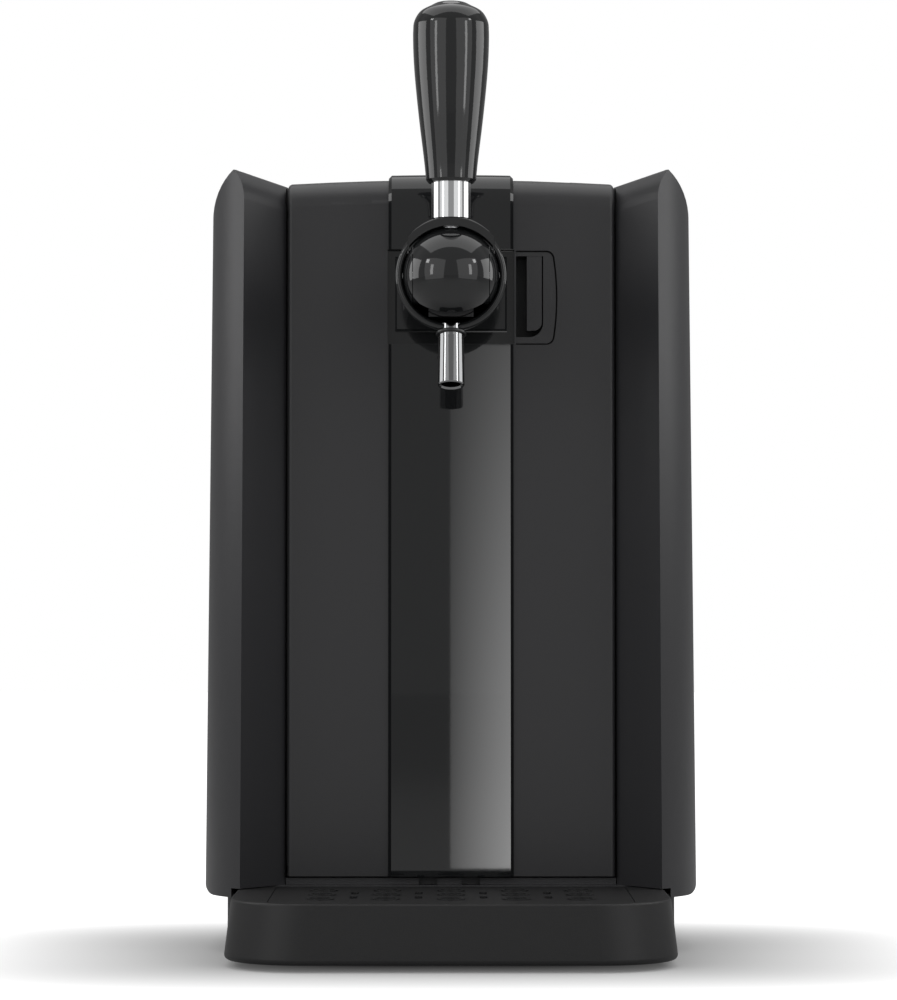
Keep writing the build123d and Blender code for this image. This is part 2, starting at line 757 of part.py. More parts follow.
# ---- hinge --------------------------------------------------------------------------------
with BuildPart() as hinge_pins:
    for level in hinge_levels.values():
        with Locations((hinge_x, hinge_y, level)):
            with Locations((0, 0, 2.0 if level < 200 else 0.0)):
                Cylinder(hinge_pin_radius, 7.6 if level < 200 else hinge_pin_length)
finish(hinge_pins, "hinge_pins")

for name, level in hinge_levels.items():
    with BuildPart() as hinge_arm:
        with BuildSketch(Plane.XY.offset(level - hinge_arm_thickness / 2)):
            with BuildLine():
                eye = CenterArc((hinge_x, hinge_y), hinge_eye_radius, 180, 180)
                Polyline(eye @ 1, (hinge_x + hinge_eye_radius, frame_y),
                         (hinge_x - hinge_eye_radius, frame_y), eye @ 0)
            make_face()
            with Locations((hinge_x, hinge_y)):
                Circle(hinge_pin_radius + running_gap, mode=Mode.SUBTRACT)
        extrude(amount=hinge_arm_thickness)
    finish(hinge_arm, f"hinge_arm_{name}")


def cut_hinge_slots():
    """Slots in a door piece that the hinge arms swing through."""
    reach = hinge_eye_radius + slot_gap + 0.2
    for level in hinge_levels.values():
        height = hinge_arm_thickness / 2 + slot_gap
        block((-door_half - 5, hinge_x + reach), (hinge_y - reach, frame_y),
              (level - height, level + height), Mode.SUBTRACT)


# ---- door ---------------------------------------------------------------------------------
def grip_outline(left, grow, y_plane):
    """Mouth of the finger grip on an upright plane, bowed on its right, grown but at the left."""
    low, high = grip_low_z - grow, grip_high_z + grow
    right = grip_right + grow
    with BuildSketch(Plane.XZ.offset(-y_plane)) as outline:
        with BuildLine():
            bow = ThreePointArc((right - grip_bow, low), (right, (low + high) / 2),
                                (right - grip_bow, high))
            Polyline(bow @ 1, (left, high), (left, low), bow @ 0)
        make_face()
        fillet(vertices().sort_by(Axis.X)[-2:], grip_radius + grow)
    return outline.sketch


def finger_slot(left, grow, y_plane):
    """Deep part of the finger grip on an upright plane, round at its lower right."""
    low, high = slot_low_z - grow, slot_high_z + grow
    with BuildSketch(Plane.XZ.offset(-y_plane)) as outline:
        with Locations(((left + slot_right + grow) / 2, (low + high) / 2)):
            Rectangle(slot_right + grow - left, high - low)
        right_hand = vertices().group_by(Axis.X)[-1].sort_by(Axis.Y)
        fillet(right_hand[0], slot_radius + grow)
    return outline.sketch


def tap_passage(radius):
    """Clear a round way for the tap's spigot through a door piece."""
    with Locations(Pos(0, door_face_y - 5, ball_z) * Rot(X=-90)):
        Cylinder(radius, 60, align=(Align.CENTER, Align.CENTER, Align.MIN), mode=Mode.SUBTRACT)


with BuildPart() as door_panel:
    add(door_form(0, door_back_y))
    add(door_form(door_skin, door_back_y + 5), mode=Mode.SUBTRACT)
    block((-window_half, window_half), (door_face_y - 1, door_face_y + door_skin + 1),
          (window_low_z, window_high_z), Mode.SUBTRACT)
    extrude(grip_outline(window_half - 0.1, 0, door_face_y - 1), amount=-door_skin - 2,
            mode=Mode.SUBTRACT)
    cut_hinge_slots()
finish(door_panel, "door_panel")

skin_rear = door_face_y + door_skin
plate_rear_y = plate_floor_y + 3.0
cup_left = window_half + divider
with BuildPart() as tap_plate:
    block((-window_half - 4, window_half - 0.1), (plate_floor_y, plate_rear_y),
          (window_low_z - 4, window_high_z + 4))
    block((-plate_half, plate_half), (plate_face_y, plate_floor_y), (plate_low_z, plate_high_z))
    chamfer(tap_plate.faces().sort_by(Axis.Y)[0].edges(), plate_bevel)
    block((-window_half - 4, -window_half), (skin_rear, plate_floor_y),
          (window_low_z - 4, window_high_z + 4))
    tap_passage(spigot_radius + running_gap)
finish(tap_plate, "tap_plate")

bar_left, bar_right = 40.8, slot_right - 0.7
with BuildPart() as grip_cup:
    # A plate let into the door's skin carries the deep slot.
    extrude(grip_outline(window_half, -grip_gap, door_face_y + grip_recess),
            amount=grip_recess - door_skin)
    extrude(finger_slot(window_half, grip_wall, door_face_y + grip_recess),
            amount=grip_recess - door_skin - grip_depth)
    block((window_half, cup_left), (door_face_y, skin_rear), (grip_low_z, grip_high_z))
    extrude(finger_slot(cup_left, 0, door_face_y - 1),
            amount=-(1 + door_skin + grip_depth - grip_wall), mode=Mode.SUBTRACT)
    # The bar that the fingertips hook behind hangs from the top of the slot.
    bar_face = door_face_y + grip_recess + 0.3
    with BuildSketch(Plane.XZ.offset(-bar_face)):
        with Locations(((bar_left + bar_right) / 2, (bar_low_z + slot_high_z + 1) / 2)):
            Rectangle(bar_right - bar_left, slot_high_z + 1 - bar_low_z)
        fillet(vertices().group_by(Axis.Y)[0].sort_by(Axis.X)[-1], slot_radius - 3)
    extrude(amount=-bar_thickness)
finish(grip_cup, "grip_cup")

core_gap = 0.3
with BuildPart() as door_core:
    add(door_form(door_skin + core_gap, door_back_y))
    block((-window_half - 5, window_half), (door_face_y - 3, plate_rear_y + core_gap),
          (window_low_z - 5, window_high_z + 5), Mode.SUBTRACT)
    extrude(finger_slot(window_half - 1, grip_wall + core_gap, door_face_y),
            amount=-(door_skin + grip_depth + core_gap), mode=Mode.SUBTRACT)
    tap_passage(spigot_radius + running_gap)
    cut_hinge_slots()
    for level in hinge_levels.values():
        with Locations((hinge_x, hinge_y, level)):
            Cylinder(hinge_pin_radius + running_gap, 16, mode=Mode.SUBTRACT)
finish(door_core, "door_core")

liner_rear_y = door_back_y + door_liner_thickness
with BuildPart() as door_liner:
    add(door_form(0, liner_rear_y))
    block((-beyond, beyond), (-beyond, door_back_y), (0, beyond), Mode.SUBTRACT)
    tap_passage(spigot_radius + running_gap)
    cut_hinge_slots()
finish(door_liner, "door_liner")

with BuildPart() as door_gasket:
    with BuildSketch(Plane.XZ.offset(-liner_rear_y)):
        with Locations((0, (gasket_low_z + gasket_high_z) / 2)):
            height = gasket_high_z - gasket_low_z
            RectangleRounded(2 * gasket_half, height, 8)
            RectangleRounded(2 * (gasket_half - gasket_width), height - 2 * gasket_width, 5,
                             mode=Mode.SUBTRACT)
    extrude(amount=-(frame_y - gasket_gap - liner_rear_y))
finish(door_gasket, "door_gasket")

with BuildPart() as door_magnet:
    block(magnet_x, (liner_rear_y, frame_y - gasket_gap), magnet_z)
finish(door_magnet, "door_magnet")

with BuildPart() as keeper_plate:
    block(magnet_x, (frame_y, frame_y + keeper_thickness), magnet_z)
finish(keeper_plate, "keeper_plate")

with BuildPart() as strip_upper:
    add(door_form(-strip_proud, door_back_y))
    block((-beyond, -strip_half), (-beyond, beyond), (0, beyond), Mode.SUBTRACT)
    block((strip_half, beyond), (-beyond, beyond), (0, beyond), Mode.SUBTRACT)
    block((-beyond, beyond), (-beyond, beyond), (0, window_high_z), Mode.SUBTRACT)
    sides = strip_upper.faces().filter_by(Axis.X).edges()
    run = sides - sides.group_by(Axis.Y)[-1] - sides.group_by(Axis.Z)[0]
    chamfer(run, strip_bevel)
    add(door_form(0, door_back_y + 1), mode=Mode.SUBTRACT)
finish(strip_upper, "strip_upper")

with BuildPart() as strip_lower:
    block((-strip_half, strip_half), (door_face_y - strip_proud, door_face_y),
          (door_bottom_z, window_low_z - 0.3))
    chamfer(strip_lower.faces().sort_by(Axis.Y)[0].edges().filter_by(Axis.Z), strip_bevel)
finish(strip_lower, "strip_lower")

# ---- tap ----------------------------------------------------------------------------------
tap_centre = Vector(0, ball_y, ball_z)
tap_side = Plane(origin=tap_centre, x_dir=(0, 1, 0), z_dir=(1, 0, 0))
tap_axis = Axis(tap_centre, (0, 1, 0))
pivot_axis = Axis(tap_centre, (1, 0, 0))
stem_axis = Axis(tap_centre, (0, 0, 1))


def radial_plane(angle):
    """Plane through the pivot; its second axis leans forward from upright by angle."""
    turn = radians(angle)
    return Plane(origin=tap_centre, x_dir=(1, 0, 0), z_dir=(0, -cos(turn), -sin(turn)))


def bore_across(radius, half):
    """Bore along the lever's pivot."""
    with Locations(Pos(tap_centre) * Rot(Y=90)):
        Cylinder(radius, 2 * half, mode=Mode.SUBTRACT)


def sphere_at(radius, mode=Mode.ADD):
    with Locations(tap_centre):
        Sphere(radius, mode=mode)


lean = radians(spout_lean_deg)
spout_down = Vector(0, -sin(lean), -cos(lean))
spout_root = tap_centre + Vector(0, 1.6, -23.5)
spout_across = Plane(origin=spout_root, x_dir=(1, 0, 0), z_dir=spout_down)
spout_along = Plane(origin=spout_root, x_dir=(1, 0, 0), z_dir=(0, cos(lean), -sin(lean)))

flange_front = door_face_y - 5.0 - ball_y
flange_rear = plate_face_y - ball_y
spigot_end = spigot_rear_y - ball_y
with BuildPart() as tap_body:
    with BuildSketch(tap_side):
        with BuildLine():
            barrel_start = (sqrt(cup_outer**2 - barrel_radius**2), barrel_radius)
            rim_outer = (cup_rim, sqrt(cup_outer**2 - cup_rim**2))
            rim_inner = (cup_rim, sqrt(cup_inner**2 - cup_rim**2))
            lip_front = (cup_rim - lip_bulge, (rim_outer[1] + rim_inner[1]) / 2)
            wall_edge = (cup_rear, sqrt(cup_inner**2 - cup_rear**2))
            Polyline(
                wall_edge,
                (cup_rear, 0),
                (spigot_end, 0),
                (spigot_end, spigot_radius),
                (flange_rear, spigot_radius),
                (flange_rear, barrel_flange_radius),
                (flange_front + 1, barrel_flange_radius),
                (flange_front, barrel_flange_radius - 1),
                (flange_front, barrel_radius + 1.5),
                (flange_front - 1.5, barrel_radius),
                barrel_start,
            )
            ThreePointArc(barrel_start, (0, cup_outer), rim_outer)
            ThreePointArc(rim_outer, lip_front, rim_inner)
            ThreePointArc(rim_inner, (0, cup_inner), wall_edge)
        make_face()
    revolve(axis=tap_axis)
    # The lever's hood and its travel need the top of the cup open.
    with BuildSketch(tap_side):
        with BuildLine():
            Polyline((0, 0), (26, 33), (-40, 45), (-40, -4), close=True)
        make_face()
    extrude(amount=hood_half + 0.4, both=True, mode=Mode.SUBTRACT)
    with Locations(Pos(0, ball_y + cup_rear - 1, ball_z - beer_line_drop) * Rot(X=-90)):
        Cylinder(beer_line_radius, 120, align=(Align.CENTER, Align.CENTER, Align.MIN),
                 mode=Mode.SUBTRACT)
    with BuildSketch(spout_across.offset(-4)):
        Circle(spout_radius + running_gap)
    extrude(amount=12, mode=Mode.SUBTRACT)
    bore_across(pivot_radius + running_gap, pin_half + 0.1)
finish(tap_body, "tap_body")

with BuildPart() as tap_nut:
    with BuildSketch(Plane.XZ.offset(-liner_rear_y)):
        with Locations((0, ball_z)):
            RegularPolygon(nut_radius, 8, major_radius=False)
            Circle(spigot_radius + running_gap, mode=Mode.SUBTRACT)
    extrude(amount=-nut_thickness)
finish(tap_nut, "tap_nut")

with BuildPart() as cheek_right:
    with BuildSketch(radial_plane(0)):
        with BuildLine():
            cheek_face = ball_band_half + cheek_gap
            bore = pivot_radius + running_gap
            face_edge = (cheek_face, sqrt(ball_radius**2 - cheek_face**2))
            pole_edge = (sqrt(ball_radius**2 - bore**2), bore)
            Polyline(face_edge, (cheek_face, bore), pole_edge)
            RadiusArc(pole_edge, face_edge, -ball_radius)
        make_face()
    revolve(axis=pivot_axis)
finish(cheek_right, "cheek_right")

with BuildPart() as cheek_left:
    add(mirror(cheek_right.part, about=Plane.YZ))
finish(cheek_left, "cheek_left")

with BuildPart() as pivot_pin:
    with Locations(Pos(tap_centre) * Rot(Y=90)):
        Cylinder(pivot_radius, 2 * pin_half)
finish(pivot_pin, "pivot_pin")

with BuildPart() as valve_block:
    with BuildSketch(tap_side):
        with BuildLine():
            Polyline(
                (-4.5, -5.2), (6.4, -5.2), (6.4, -16), (12.8, -16), (12.8, 10.5), (17, 10.5),
                (17, -21), (-4.5, -21), close=True,
            )
        make_face()
    extrude(amount=valve_half, both=True)
    # Guide walls either side of the slider.
    for side in (-1, 1):
        spans = sorted((side * (slider_half + 0.2), side * valve_half))
        block(spans, (ball_y + 6.4, ball_y + 12.8), (ball_z - 20, ball_z - 5.2))
    with BuildSketch(tap_side):
        with BuildLine():
            Polyline((7, 16), (7, 13.5), (14.5, 13.5), (14.5, 10.0), (17, 10.0), (17, 10.5),
                     (14.5, 14.2), close=True)
        make_face()
    extrude(amount=4.2, both=True)
    sphere_at(cup_inner - 0.2, Mode.INTERSECT)
    with BuildPart(mode=Mode.PRIVATE) as front_clear:
        with Locations(tap_centre):
            Sphere(40)
            Sphere(ball_radius - ball_wall - 0.5, mode=Mode.SUBTRACT)
        block((-50, 50), (ball_y - 1.5, ball_y + 50), (ball_z - 50, ball_z + 50), Mode.SUBTRACT)
    add(front_clear.part, mode=Mode.SUBTRACT)
    with Locations(Pos(0, ball_y + 5.1, ball_z - beer_line_drop) * Rot(X=-90)):
        Cylinder(beer_line_radius, 30, align=(Align.CENTER, Align.CENTER, Align.MIN),
                 mode=Mode.SUBTRACT)
    with BuildSketch(spout_across.offset(5)):
        Circle(spout_bore)
    extrude(amount=-18, mode=Mode.SUBTRACT)
finish(valve_block, "valve_block")

with BuildPart() as spout:
    with BuildSketch(spout_along):
        with BuildLine():
            Polyline(
                (spout_bore, -3),
                (spout_radius, -3),
                (spout_radius, 9),
                (spout_radius + 0.4, spout_length - 0.6),
                (spout_radius, spout_length),
                (spout_bore + 0.6, spout_length),
                (spout_bore, spout_length - 1),
                close=True,
            )
        make_face()
    revolve(axis=Axis(spout_root, spout_down))
    sphere_at(cup_inner, Mode.SUBTRACT)
finish(spout, "spout")

with BuildPart() as spout_collar:
    with BuildSketch(spout_across.offset(collar_start)):
        Circle(collar_radius)
        Circle(spout_radius + running_gap, mode=Mode.SUBTRACT)
    extrude(amount=collar_thickness)
    fillet(spout_collar.edges().filter_by(GeomType.CIRCLE).sort_by(SortBy.RADIUS)[-2:], 0.6)
finish(spout_collar, "spout_collar")

# ---- tap lever ----------------------------------------------------------------------------
with BuildPart() as ball_rotor:
    with BuildSketch(radial_plane(band_rear_deg)):
        with BuildLine():
            inner_radius = ball_radius - ball_wall
            half = ball_band_half
            outside = ThreePointArc(
                (-half, sqrt(ball_radius**2 - half**2)), (0, ball_radius),
                (half, sqrt(ball_radius**2 - half**2)),
            )
            inside = ThreePointArc(
                (-half, sqrt(inner_radius**2 - half**2)), (0, inner_radius),
                (half, sqrt(inner_radius**2 - half**2)),
            )
            Line(outside @ 0, inside @ 0)
            Line(outside @ 1, inside @ 1)
        make_face()
    revolve(axis=pivot_axis, revolution_arc=band_span_deg)
    for side in (-1, 1):
        with BuildSketch(tap_side.offset(side * (ball_band_half - ball_wall))):
            Circle(sqrt(ball_radius**2 - ball_band_half**2) - 0.4)
        extrude(amount=side * ball_wall)
    with Locations(Pos(tap_centre) * Rot(Y=90)):
        Cylinder(hub_radius, 2 * (ball_band_half - ball_wall) + 1)
    with BuildSketch(tap_side):
        with BuildLine():
            web = CenterArc((0, 0), inner_radius + 1, 78, 112)
            Polyline(web @ 0, (0, 0), web @ 1)
        make_face()
    extrude(amount=cam_half, both=True)
    # The cam's flank is an involute, so the slider rises evenly with the lever's angle.
    flank = []
    for step in range(9):
        rise = cam_lift * step / 8
        turn = rise / cam_base_radius
        height = cam_start + rise
        flank.append((
            cam_base_radius * cos(turn) + height * sin(turn),
            -cam_base_radius * sin(turn) + height * cos(turn),
        ))
    with BuildSketch(tap_side):
        with BuildLine():
            Spline(*flank)
            Polyline(flank[-1], (flank[-1][0], -1.2), (3, -4), (0, 0), (4.4, 0.4), flank[0])
        make_face()
    extrude(amount=cam_half, both=True)
    bore_across(pivot_radius + running_gap, 30)
    with Locations(tap_centre + Vector(0, 0, inner_radius - 0.1)):
        Cylinder(stud_radius + running_gap, 6, align=(Align.CENTER, Align.CENTER, Align.MIN),
                 mode=Mode.SUBTRACT)
finish(ball_rotor, "ball_rotor")

with BuildPart() as lever_hood:
    with BuildSketch(radial_plane(-hood_span_deg / 2)):
        with BuildLine():
            skirt_inner = sqrt((ball_radius + cheek_gap) ** 2 - hood_skirt**2)
            knee = (skirt_inner, sqrt(hood_inner**2 - skirt_inner**2))
            outer = ThreePointArc((-hood_half, hood_edge), (0, hood_crown), (hood_half, hood_edge))
            inner = ThreePointArc((knee[0], knee[1]), (0, hood_inner), (-knee[0], knee[1]))
            Polyline(outer @ 1, (hood_half, hood_skirt), (skirt_inner, hood_skirt), inner @ 0)
            Polyline(inner @ 1, (-skirt_inner, hood_skirt), (-hood_half, hood_skirt), outer @ 0)
        make_face()
    revolve(axis=pivot_axis, revolution_arc=hood_span_deg)
    with Locations(tap_centre + Vector(0, 0, ball_radius)):
        Cylinder(stud_radius + running_gap, 20, align=(Align.CENTER, Align.CENTER, Align.MIN),
                 mode=Mode.SUBTRACT)
finish(lever_hood, "lever_hood")

with BuildPart() as lever_stud:
    with Locations(tap_centre + Vector(0, 0, ball_radius - ball_wall)):
        Cylinder(stud_radius, stud_top - ball_radius + ball_wall,
                 align=(Align.CENTER, Align.CENTER, Align.MIN))
    with BuildPart(mode=Mode.PRIVATE) as stud_flange:
        with Locations(tap_centre + Vector(0, 0, ball_radius - 2)):
            Cylinder(6, 5.0, align=(Align.CENTER, Align.CENTER, Align.MIN))
        sphere_at(ball_radius + running_gap, Mode.SUBTRACT)
        sphere_at(hood_inner - running_gap, Mode.INTERSECT)
    add(stud_flange.part)
finish(lever_stud, "lever_stud")

ferrule_low, ferrule_neck = 28.8, 7.0
with BuildPart() as handle_ferrule:
    with BuildSketch(radial_plane(0)):
        with BuildLine():
            Polyline(
                (0, stud_top + 0.5), (stud_radius + running_gap, stud_top + 0.5),
                (stud_radius + running_gap, ferrule_low),
                (ferrule_radius - 0.6, ferrule_low), (ferrule_radius, ferrule_low + 0.6),
                (ferrule_radius, handle_bottom), (ferrule_neck, handle_bottom),
                (ferrule_neck, handle_bottom + 9), (0, handle_bottom + 9), close=True,
            )
        make_face()
    revolve(axis=stem_axis)
    # The lower edge is scribed to the hood.
    with BuildSketch(radial_plane(-hood_span_deg)):
        with BuildLine():
            rise = running_gap
            saddle = ThreePointArc(
                (-hood_half, hood_edge + rise), (0, hood_crown + rise), (hood_half, hood_edge + rise)
            )
            Polyline(saddle @ 1, (hood_half, 0), (-hood_half, 0), saddle @ 0)
        make_face()
    revolve(axis=pivot_axis, revolution_arc=2 * hood_span_deg, mode=Mode.SUBTRACT)
finish(handle_ferrule, "handle_ferrule")

socket_radius = 10.0  # the cap's plug in the grip
with BuildPart() as handle_grip:
    with BuildSketch(radial_plane(0)):
        with BuildLine():
            flare = Spline((12.9, handle_bottom + 1.6), (15.4, 72.0), (17.75, 93.2),
                           (grip_top_radius, handle_seam), tangents=[(0.07, 1), (0, 1)])
            socket_low = handle_seam - 9
            neck = ferrule_neck + running_gap
            Polyline(flare @ 0, (11.6, handle_bottom), (neck, handle_bottom),
                     (neck, handle_bottom + 9.5), (0, handle_bottom + 9.5), (0, socket_low),
                     (socket_radius + running_gap, socket_low),
                     (socket_radius + running_gap, handle_seam), flare @ 1)
        make_face()
    revolve(axis=stem_axis)
finish(handle_grip, "handle_grip")

with BuildPart() as handle_cap:
    with BuildSketch(radial_plane(0)):
        with BuildLine():
            plug_low = handle_seam - 8.5
            shoulder = handle_seam + 4
            Polyline((0, handle_top), (0, plug_low), (socket_radius, plug_low),
                     (socket_radius, handle_seam), (grip_top_radius, handle_seam),
                     (grip_top_radius - 0.15, shoulder))
            Spline((grip_top_radius - 0.15, shoulder), (18.2, handle_seam + 8.2),
                   (15.6, handle_seam + 11.7), (11.1, handle_seam + 14.2), (0, handle_top),
                   tangents=[(-0.05, 1), (-1, 0)])
        make_face()
    revolve(axis=stem_axis)
finish(handle_cap, "handle_cap")

with BuildPart() as pinch_slider:
    slider_y = (ball_y + slider_front, ball_y + slider_back)
    for side in (-1, 1):
        block(sorted((side * 5.6, side * slider_half)), slider_y, (ball_z - 9, ball_z + 4.5))
    block((-slider_half, slider_half), slider_y, (ball_z + cam_start + 0.02, ball_z + 4.5))
    block((-slider_half, slider_half), slider_y, (ball_z - 9, ball_z - 6))
    block((-slider_half, slider_half), (ball_y + 8.4, ball_y + 10.7), (ball_z - 12.6, ball_z - 8))
finish(pinch_slider, "pinch_slider")

spring_low, spring_high = 4.5, 13.5
with BuildPart() as pinch_spring:
    coil_height = spring_high - spring_low - spring_wire
    with BuildLine() as coil:
        Helix(coil_height / 4, coil_height, spring_radius,
              center=(0, ball_y + 9.5, ball_z + spring_low + spring_wire / 2))
    with BuildSketch(Plane(origin=coil.line @ 0, z_dir=coil.line % 0)):
        Circle(spring_wire / 2)
    sweep()
finish(pinch_spring, "pinch_spring")


# ---- drip tray ----------------------------------------------------------------------------
def tray_face(level, half, front, rear, front_radius, rear_radius):
    """Plan of the tray at one height, with its large front corners."""
    with BuildSketch(Plane.XY.offset(level)) as plan:
        with Locations((0, (front + rear) / 2)):
            Rectangle(2 * half, rear - front)
        fillet(vertices().group_by(Axis.Y)[0], front_radius)
        fillet(vertices().group_by(Axis.Y)[-1], rear_radius)
    return plan.sketch


def tray_form(inset, low, high):
    lean_in = tray_half_foot - tray_half_top
    return loft([
        tray_face(low, tray_half_foot - inset, front_y + inset, tray_rear_y - inset,
                  tray_front_radius - inset, tray_rear_radius - inset),
        tray_face(high, tray_half_top - inset, front_y + lean_in + inset, tray_rear_y - inset,
                  tray_front_radius - inset, tray_rear_radius - inset),
    ])


ledge_z = tray_top_z - grid_thickness
grid_front, grid_rear = -217.0, -108.5
well_floor_z = 8.0
with BuildPart() as drip_tray:
    add(tray_form(0, tray_low_z, tray_top_z))
    fillet(drip_tray.edges().group_by(Axis.Z)[0], 2.5)
    fillet(drip_tray.edges().group_by(Axis.Z)[-1], 1.2)
    extrude(tray_face(tray_top_z, grid_half + grid_gap, grid_front - grid_gap, grid_rear + grid_gap,
                      14, 7), amount=-grid_thickness, mode=Mode.SUBTRACT)
    extrude(tray_face(tray_top_z, grid_half - grid_rim, grid_front + grid_rim,
                      grid_rear - grid_rim, 10, 5),
            amount=-(tray_top_z - well_floor_z), mode=Mode.SUBTRACT)
    # Open below between the outer wall and the well.
    with BuildPart(mode=Mode.PRIVATE) as hollow:
        add(tray_form(tray_wall, tray_low_z - 1, ledge_z - tray_wall))
        extrude(tray_face(0, grid_half - grid_rim + tray_wall, grid_front + grid_rim - tray_wall,
                          grid_rear - grid_rim + tray_wall, 12, 7),
                amount=60, mode=Mode.SUBTRACT)
    add(hollow.part, mode=Mode.SUBTRACT)
    for side in (-1, 1):
        arm_x = (side * tray_hook_x - hook_width / 2, side * tray_hook_x + hook_width / 2)
        block(arm_x, (tray_rear_y - tray_wall, tray_rear_y + hook_length),
              (hook_low_z, hook_high_z))
finish(drip_tray, "drip_tray")

with BuildPart() as drip_grid:
    extrude(tray_face(ledge_z, grid_half, grid_front, grid_rear, 14 - grid_gap, 7 - grid_gap),
            amount=grid_thickness)
    with Locations((0, (grid_front + grid_rear) / 2, tray_top_z)):
        with GridLocations(ring_pitch_x, ring_pitch_y, 5, 3):
            Cylinder(ring_radius, 0.7, align=(Align.CENTER, Align.CENTER, Align.MIN))
    with BuildSketch(Plane.XY.offset(tray_top_z + 1)):
        with Locations((0, (grid_front + grid_rear) / 2)):
            with GridLocations(ring_pitch_x, ring_pitch_y, 5, 3):
                Circle(ring_radius - 1.6)
            with GridLocations(ring_pitch_x, ring_pitch_y, 4, 2):
                SlotOverall(16, 4, rotation=90)
    extrude(amount=-grid_thickness - 2, mode=Mode.SUBTRACT)
    with BuildSketch(Plane.XY.offset(ledge_z)):
        with Locations((0, (grid_front + grid_rear) / 2)):
            with GridLocations(ring_pitch_x, ring_pitch_y, 5, 3):
                Rectangle(2 * ring_radius - 2, 1.6)
                Rectangle(1.6, 2 * ring_radius - 2)
    extrude(amount=1.6)
finish(drip_grid, "drip_grid")
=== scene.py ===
from math import pi, radians

import bpy
import numpy as np
from bpy.props import FloatProperty, FloatVectorProperty, IntProperty, PointerProperty
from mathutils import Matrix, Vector


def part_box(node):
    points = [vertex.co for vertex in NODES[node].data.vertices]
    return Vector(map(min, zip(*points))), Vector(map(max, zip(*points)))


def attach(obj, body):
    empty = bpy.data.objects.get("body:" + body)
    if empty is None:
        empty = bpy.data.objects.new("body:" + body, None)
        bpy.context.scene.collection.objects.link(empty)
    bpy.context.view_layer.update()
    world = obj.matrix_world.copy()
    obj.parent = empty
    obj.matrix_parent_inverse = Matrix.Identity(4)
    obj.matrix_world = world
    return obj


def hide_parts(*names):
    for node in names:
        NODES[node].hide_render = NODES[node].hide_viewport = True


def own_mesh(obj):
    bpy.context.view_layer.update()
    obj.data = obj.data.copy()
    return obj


bl_info = {
    "name": "Keg Beer Dispenser",
    "version": (1, 0, 0),
    "blender": (4, 5, 0),
    "location": "View3D > Sidebar > Dispenser",
    "description": "Finishes the packed keg beer dispenser and sets its studio stage",
    "category": "Object",
}

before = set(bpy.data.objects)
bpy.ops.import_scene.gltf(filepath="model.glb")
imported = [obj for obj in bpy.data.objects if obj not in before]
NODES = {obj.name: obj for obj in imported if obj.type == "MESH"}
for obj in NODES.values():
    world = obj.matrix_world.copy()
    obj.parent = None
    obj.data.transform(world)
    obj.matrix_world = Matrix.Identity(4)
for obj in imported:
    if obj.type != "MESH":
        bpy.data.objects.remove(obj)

STEEL = (0.6, 0.6, 0.61)
# Grey mixed in on faces that look up, speckled by noise, so that they read lighter.
UP_FACE_GREY = (0.35, 0.34, 0.33)
WHITE = (1, 1, 1, 1)

# Noise cells per metre of the finer plastics, and of brushed metal.
SOFT_GRAIN = 900.0
GLOSS_GRAIN = 300.0
BRUSH_GRAIN = 900.0

# A spring's surface: points along each turn, and points round the wire.
COIL_STEPS = 28
WIRE_SIDES = 10

# The floor's emission lifts it to white everywhere but in a soft pool round the foot of the
# object,
# where the emission fades out: a painted shadow, inside which the lamps' real shadow also shows.
# The pool's edge runs between two values of the stretched distance from its middle.
FLOOR_HALF = 6.0
FLOOR_SHADE = 0.38
PAINTED_SHADOW_MIDDLE = (0, -0.122, 0)
PAINTED_SHADOW_REACH = (0.22, 0.152, 1)
PAINTED_SHADOW_EDGE = (0.13, 1.95)
FLOOR_GLOSS_SHARE = 0.2

# How far towards the back a reflected direction turns from the room's level to the backdrop's.
BACKDROP_TURN = (0.2, 0.5)

# Soft lights that stand on both sides: name, place on the right, aim, width, height, setting.
PAIRED_LIGHTS = (
    ("panel", (0.98, -1.32, 0.68), (0, -0.19, 0.35), 1.4, 1.3, "panel_level"),
    ("lamp", (1.25, -0.85, 1.1), (0, -0.19, 0.35), 0.2, 0.2, "lamp_level"),
    ("core", (1.2, -1.32, 0.66), (0, -0.19, 0.4), 0.2, 0.64, "core_level"),
    ("side_light", (0.7, -0.06, 0.5), (0, -0.05, 0.34), 0.45, 0.4, "side_level"),
)
TOP_LIGHT = ("light_top", (0, 0.15, 1.55), (0, 0.15, 0), 2.2, 1.7)

# The glowing card: its place, and its glow at the left edge and foot with the change per metre.
CARD_Y = -0.7
CARD_WIDTH = 0.06
CARD_HEIGHT = 0.37
CARD_GLOW = (1.2, 96.0)
CARD_FADE = (1.06, -2.15)

SENSOR_WIDTH = 24.0
LENS_TO_SENSOR = 3.454
CAMERA_X = -0.00131


# ---- sizes and colours a user may change ----------------------------------------------------
class ShellSettings(bpy.types.PropertyGroup):
    """Moulded black housing."""

    shell_color: FloatVectorProperty(
        name="Shell colour", description="Satin black of the side shells and the top",
        subtype="COLOR", size=3, min=0, max=1, default=(0.022, 0.022, 0.024))
    door_color: FloatVectorProperty(
        name="Door colour", description="Satin black of the door panel",
        subtype="COLOR", size=3, min=0, max=1, default=(0.018, 0.018, 0.0195))
    tray_color: FloatVectorProperty(
        name="Tray colour", description="Satin black of the drip tray",
        subtype="COLOR", size=3, min=0, max=1, default=(0.011, 0.011, 0.0115))
    grain_size: FloatProperty(
        name="Grain size", description="Size of one grain of the moulded texture",
        subtype="DISTANCE", unit="LENGTH", min=0.0001, max=0.01, default=0.0006)


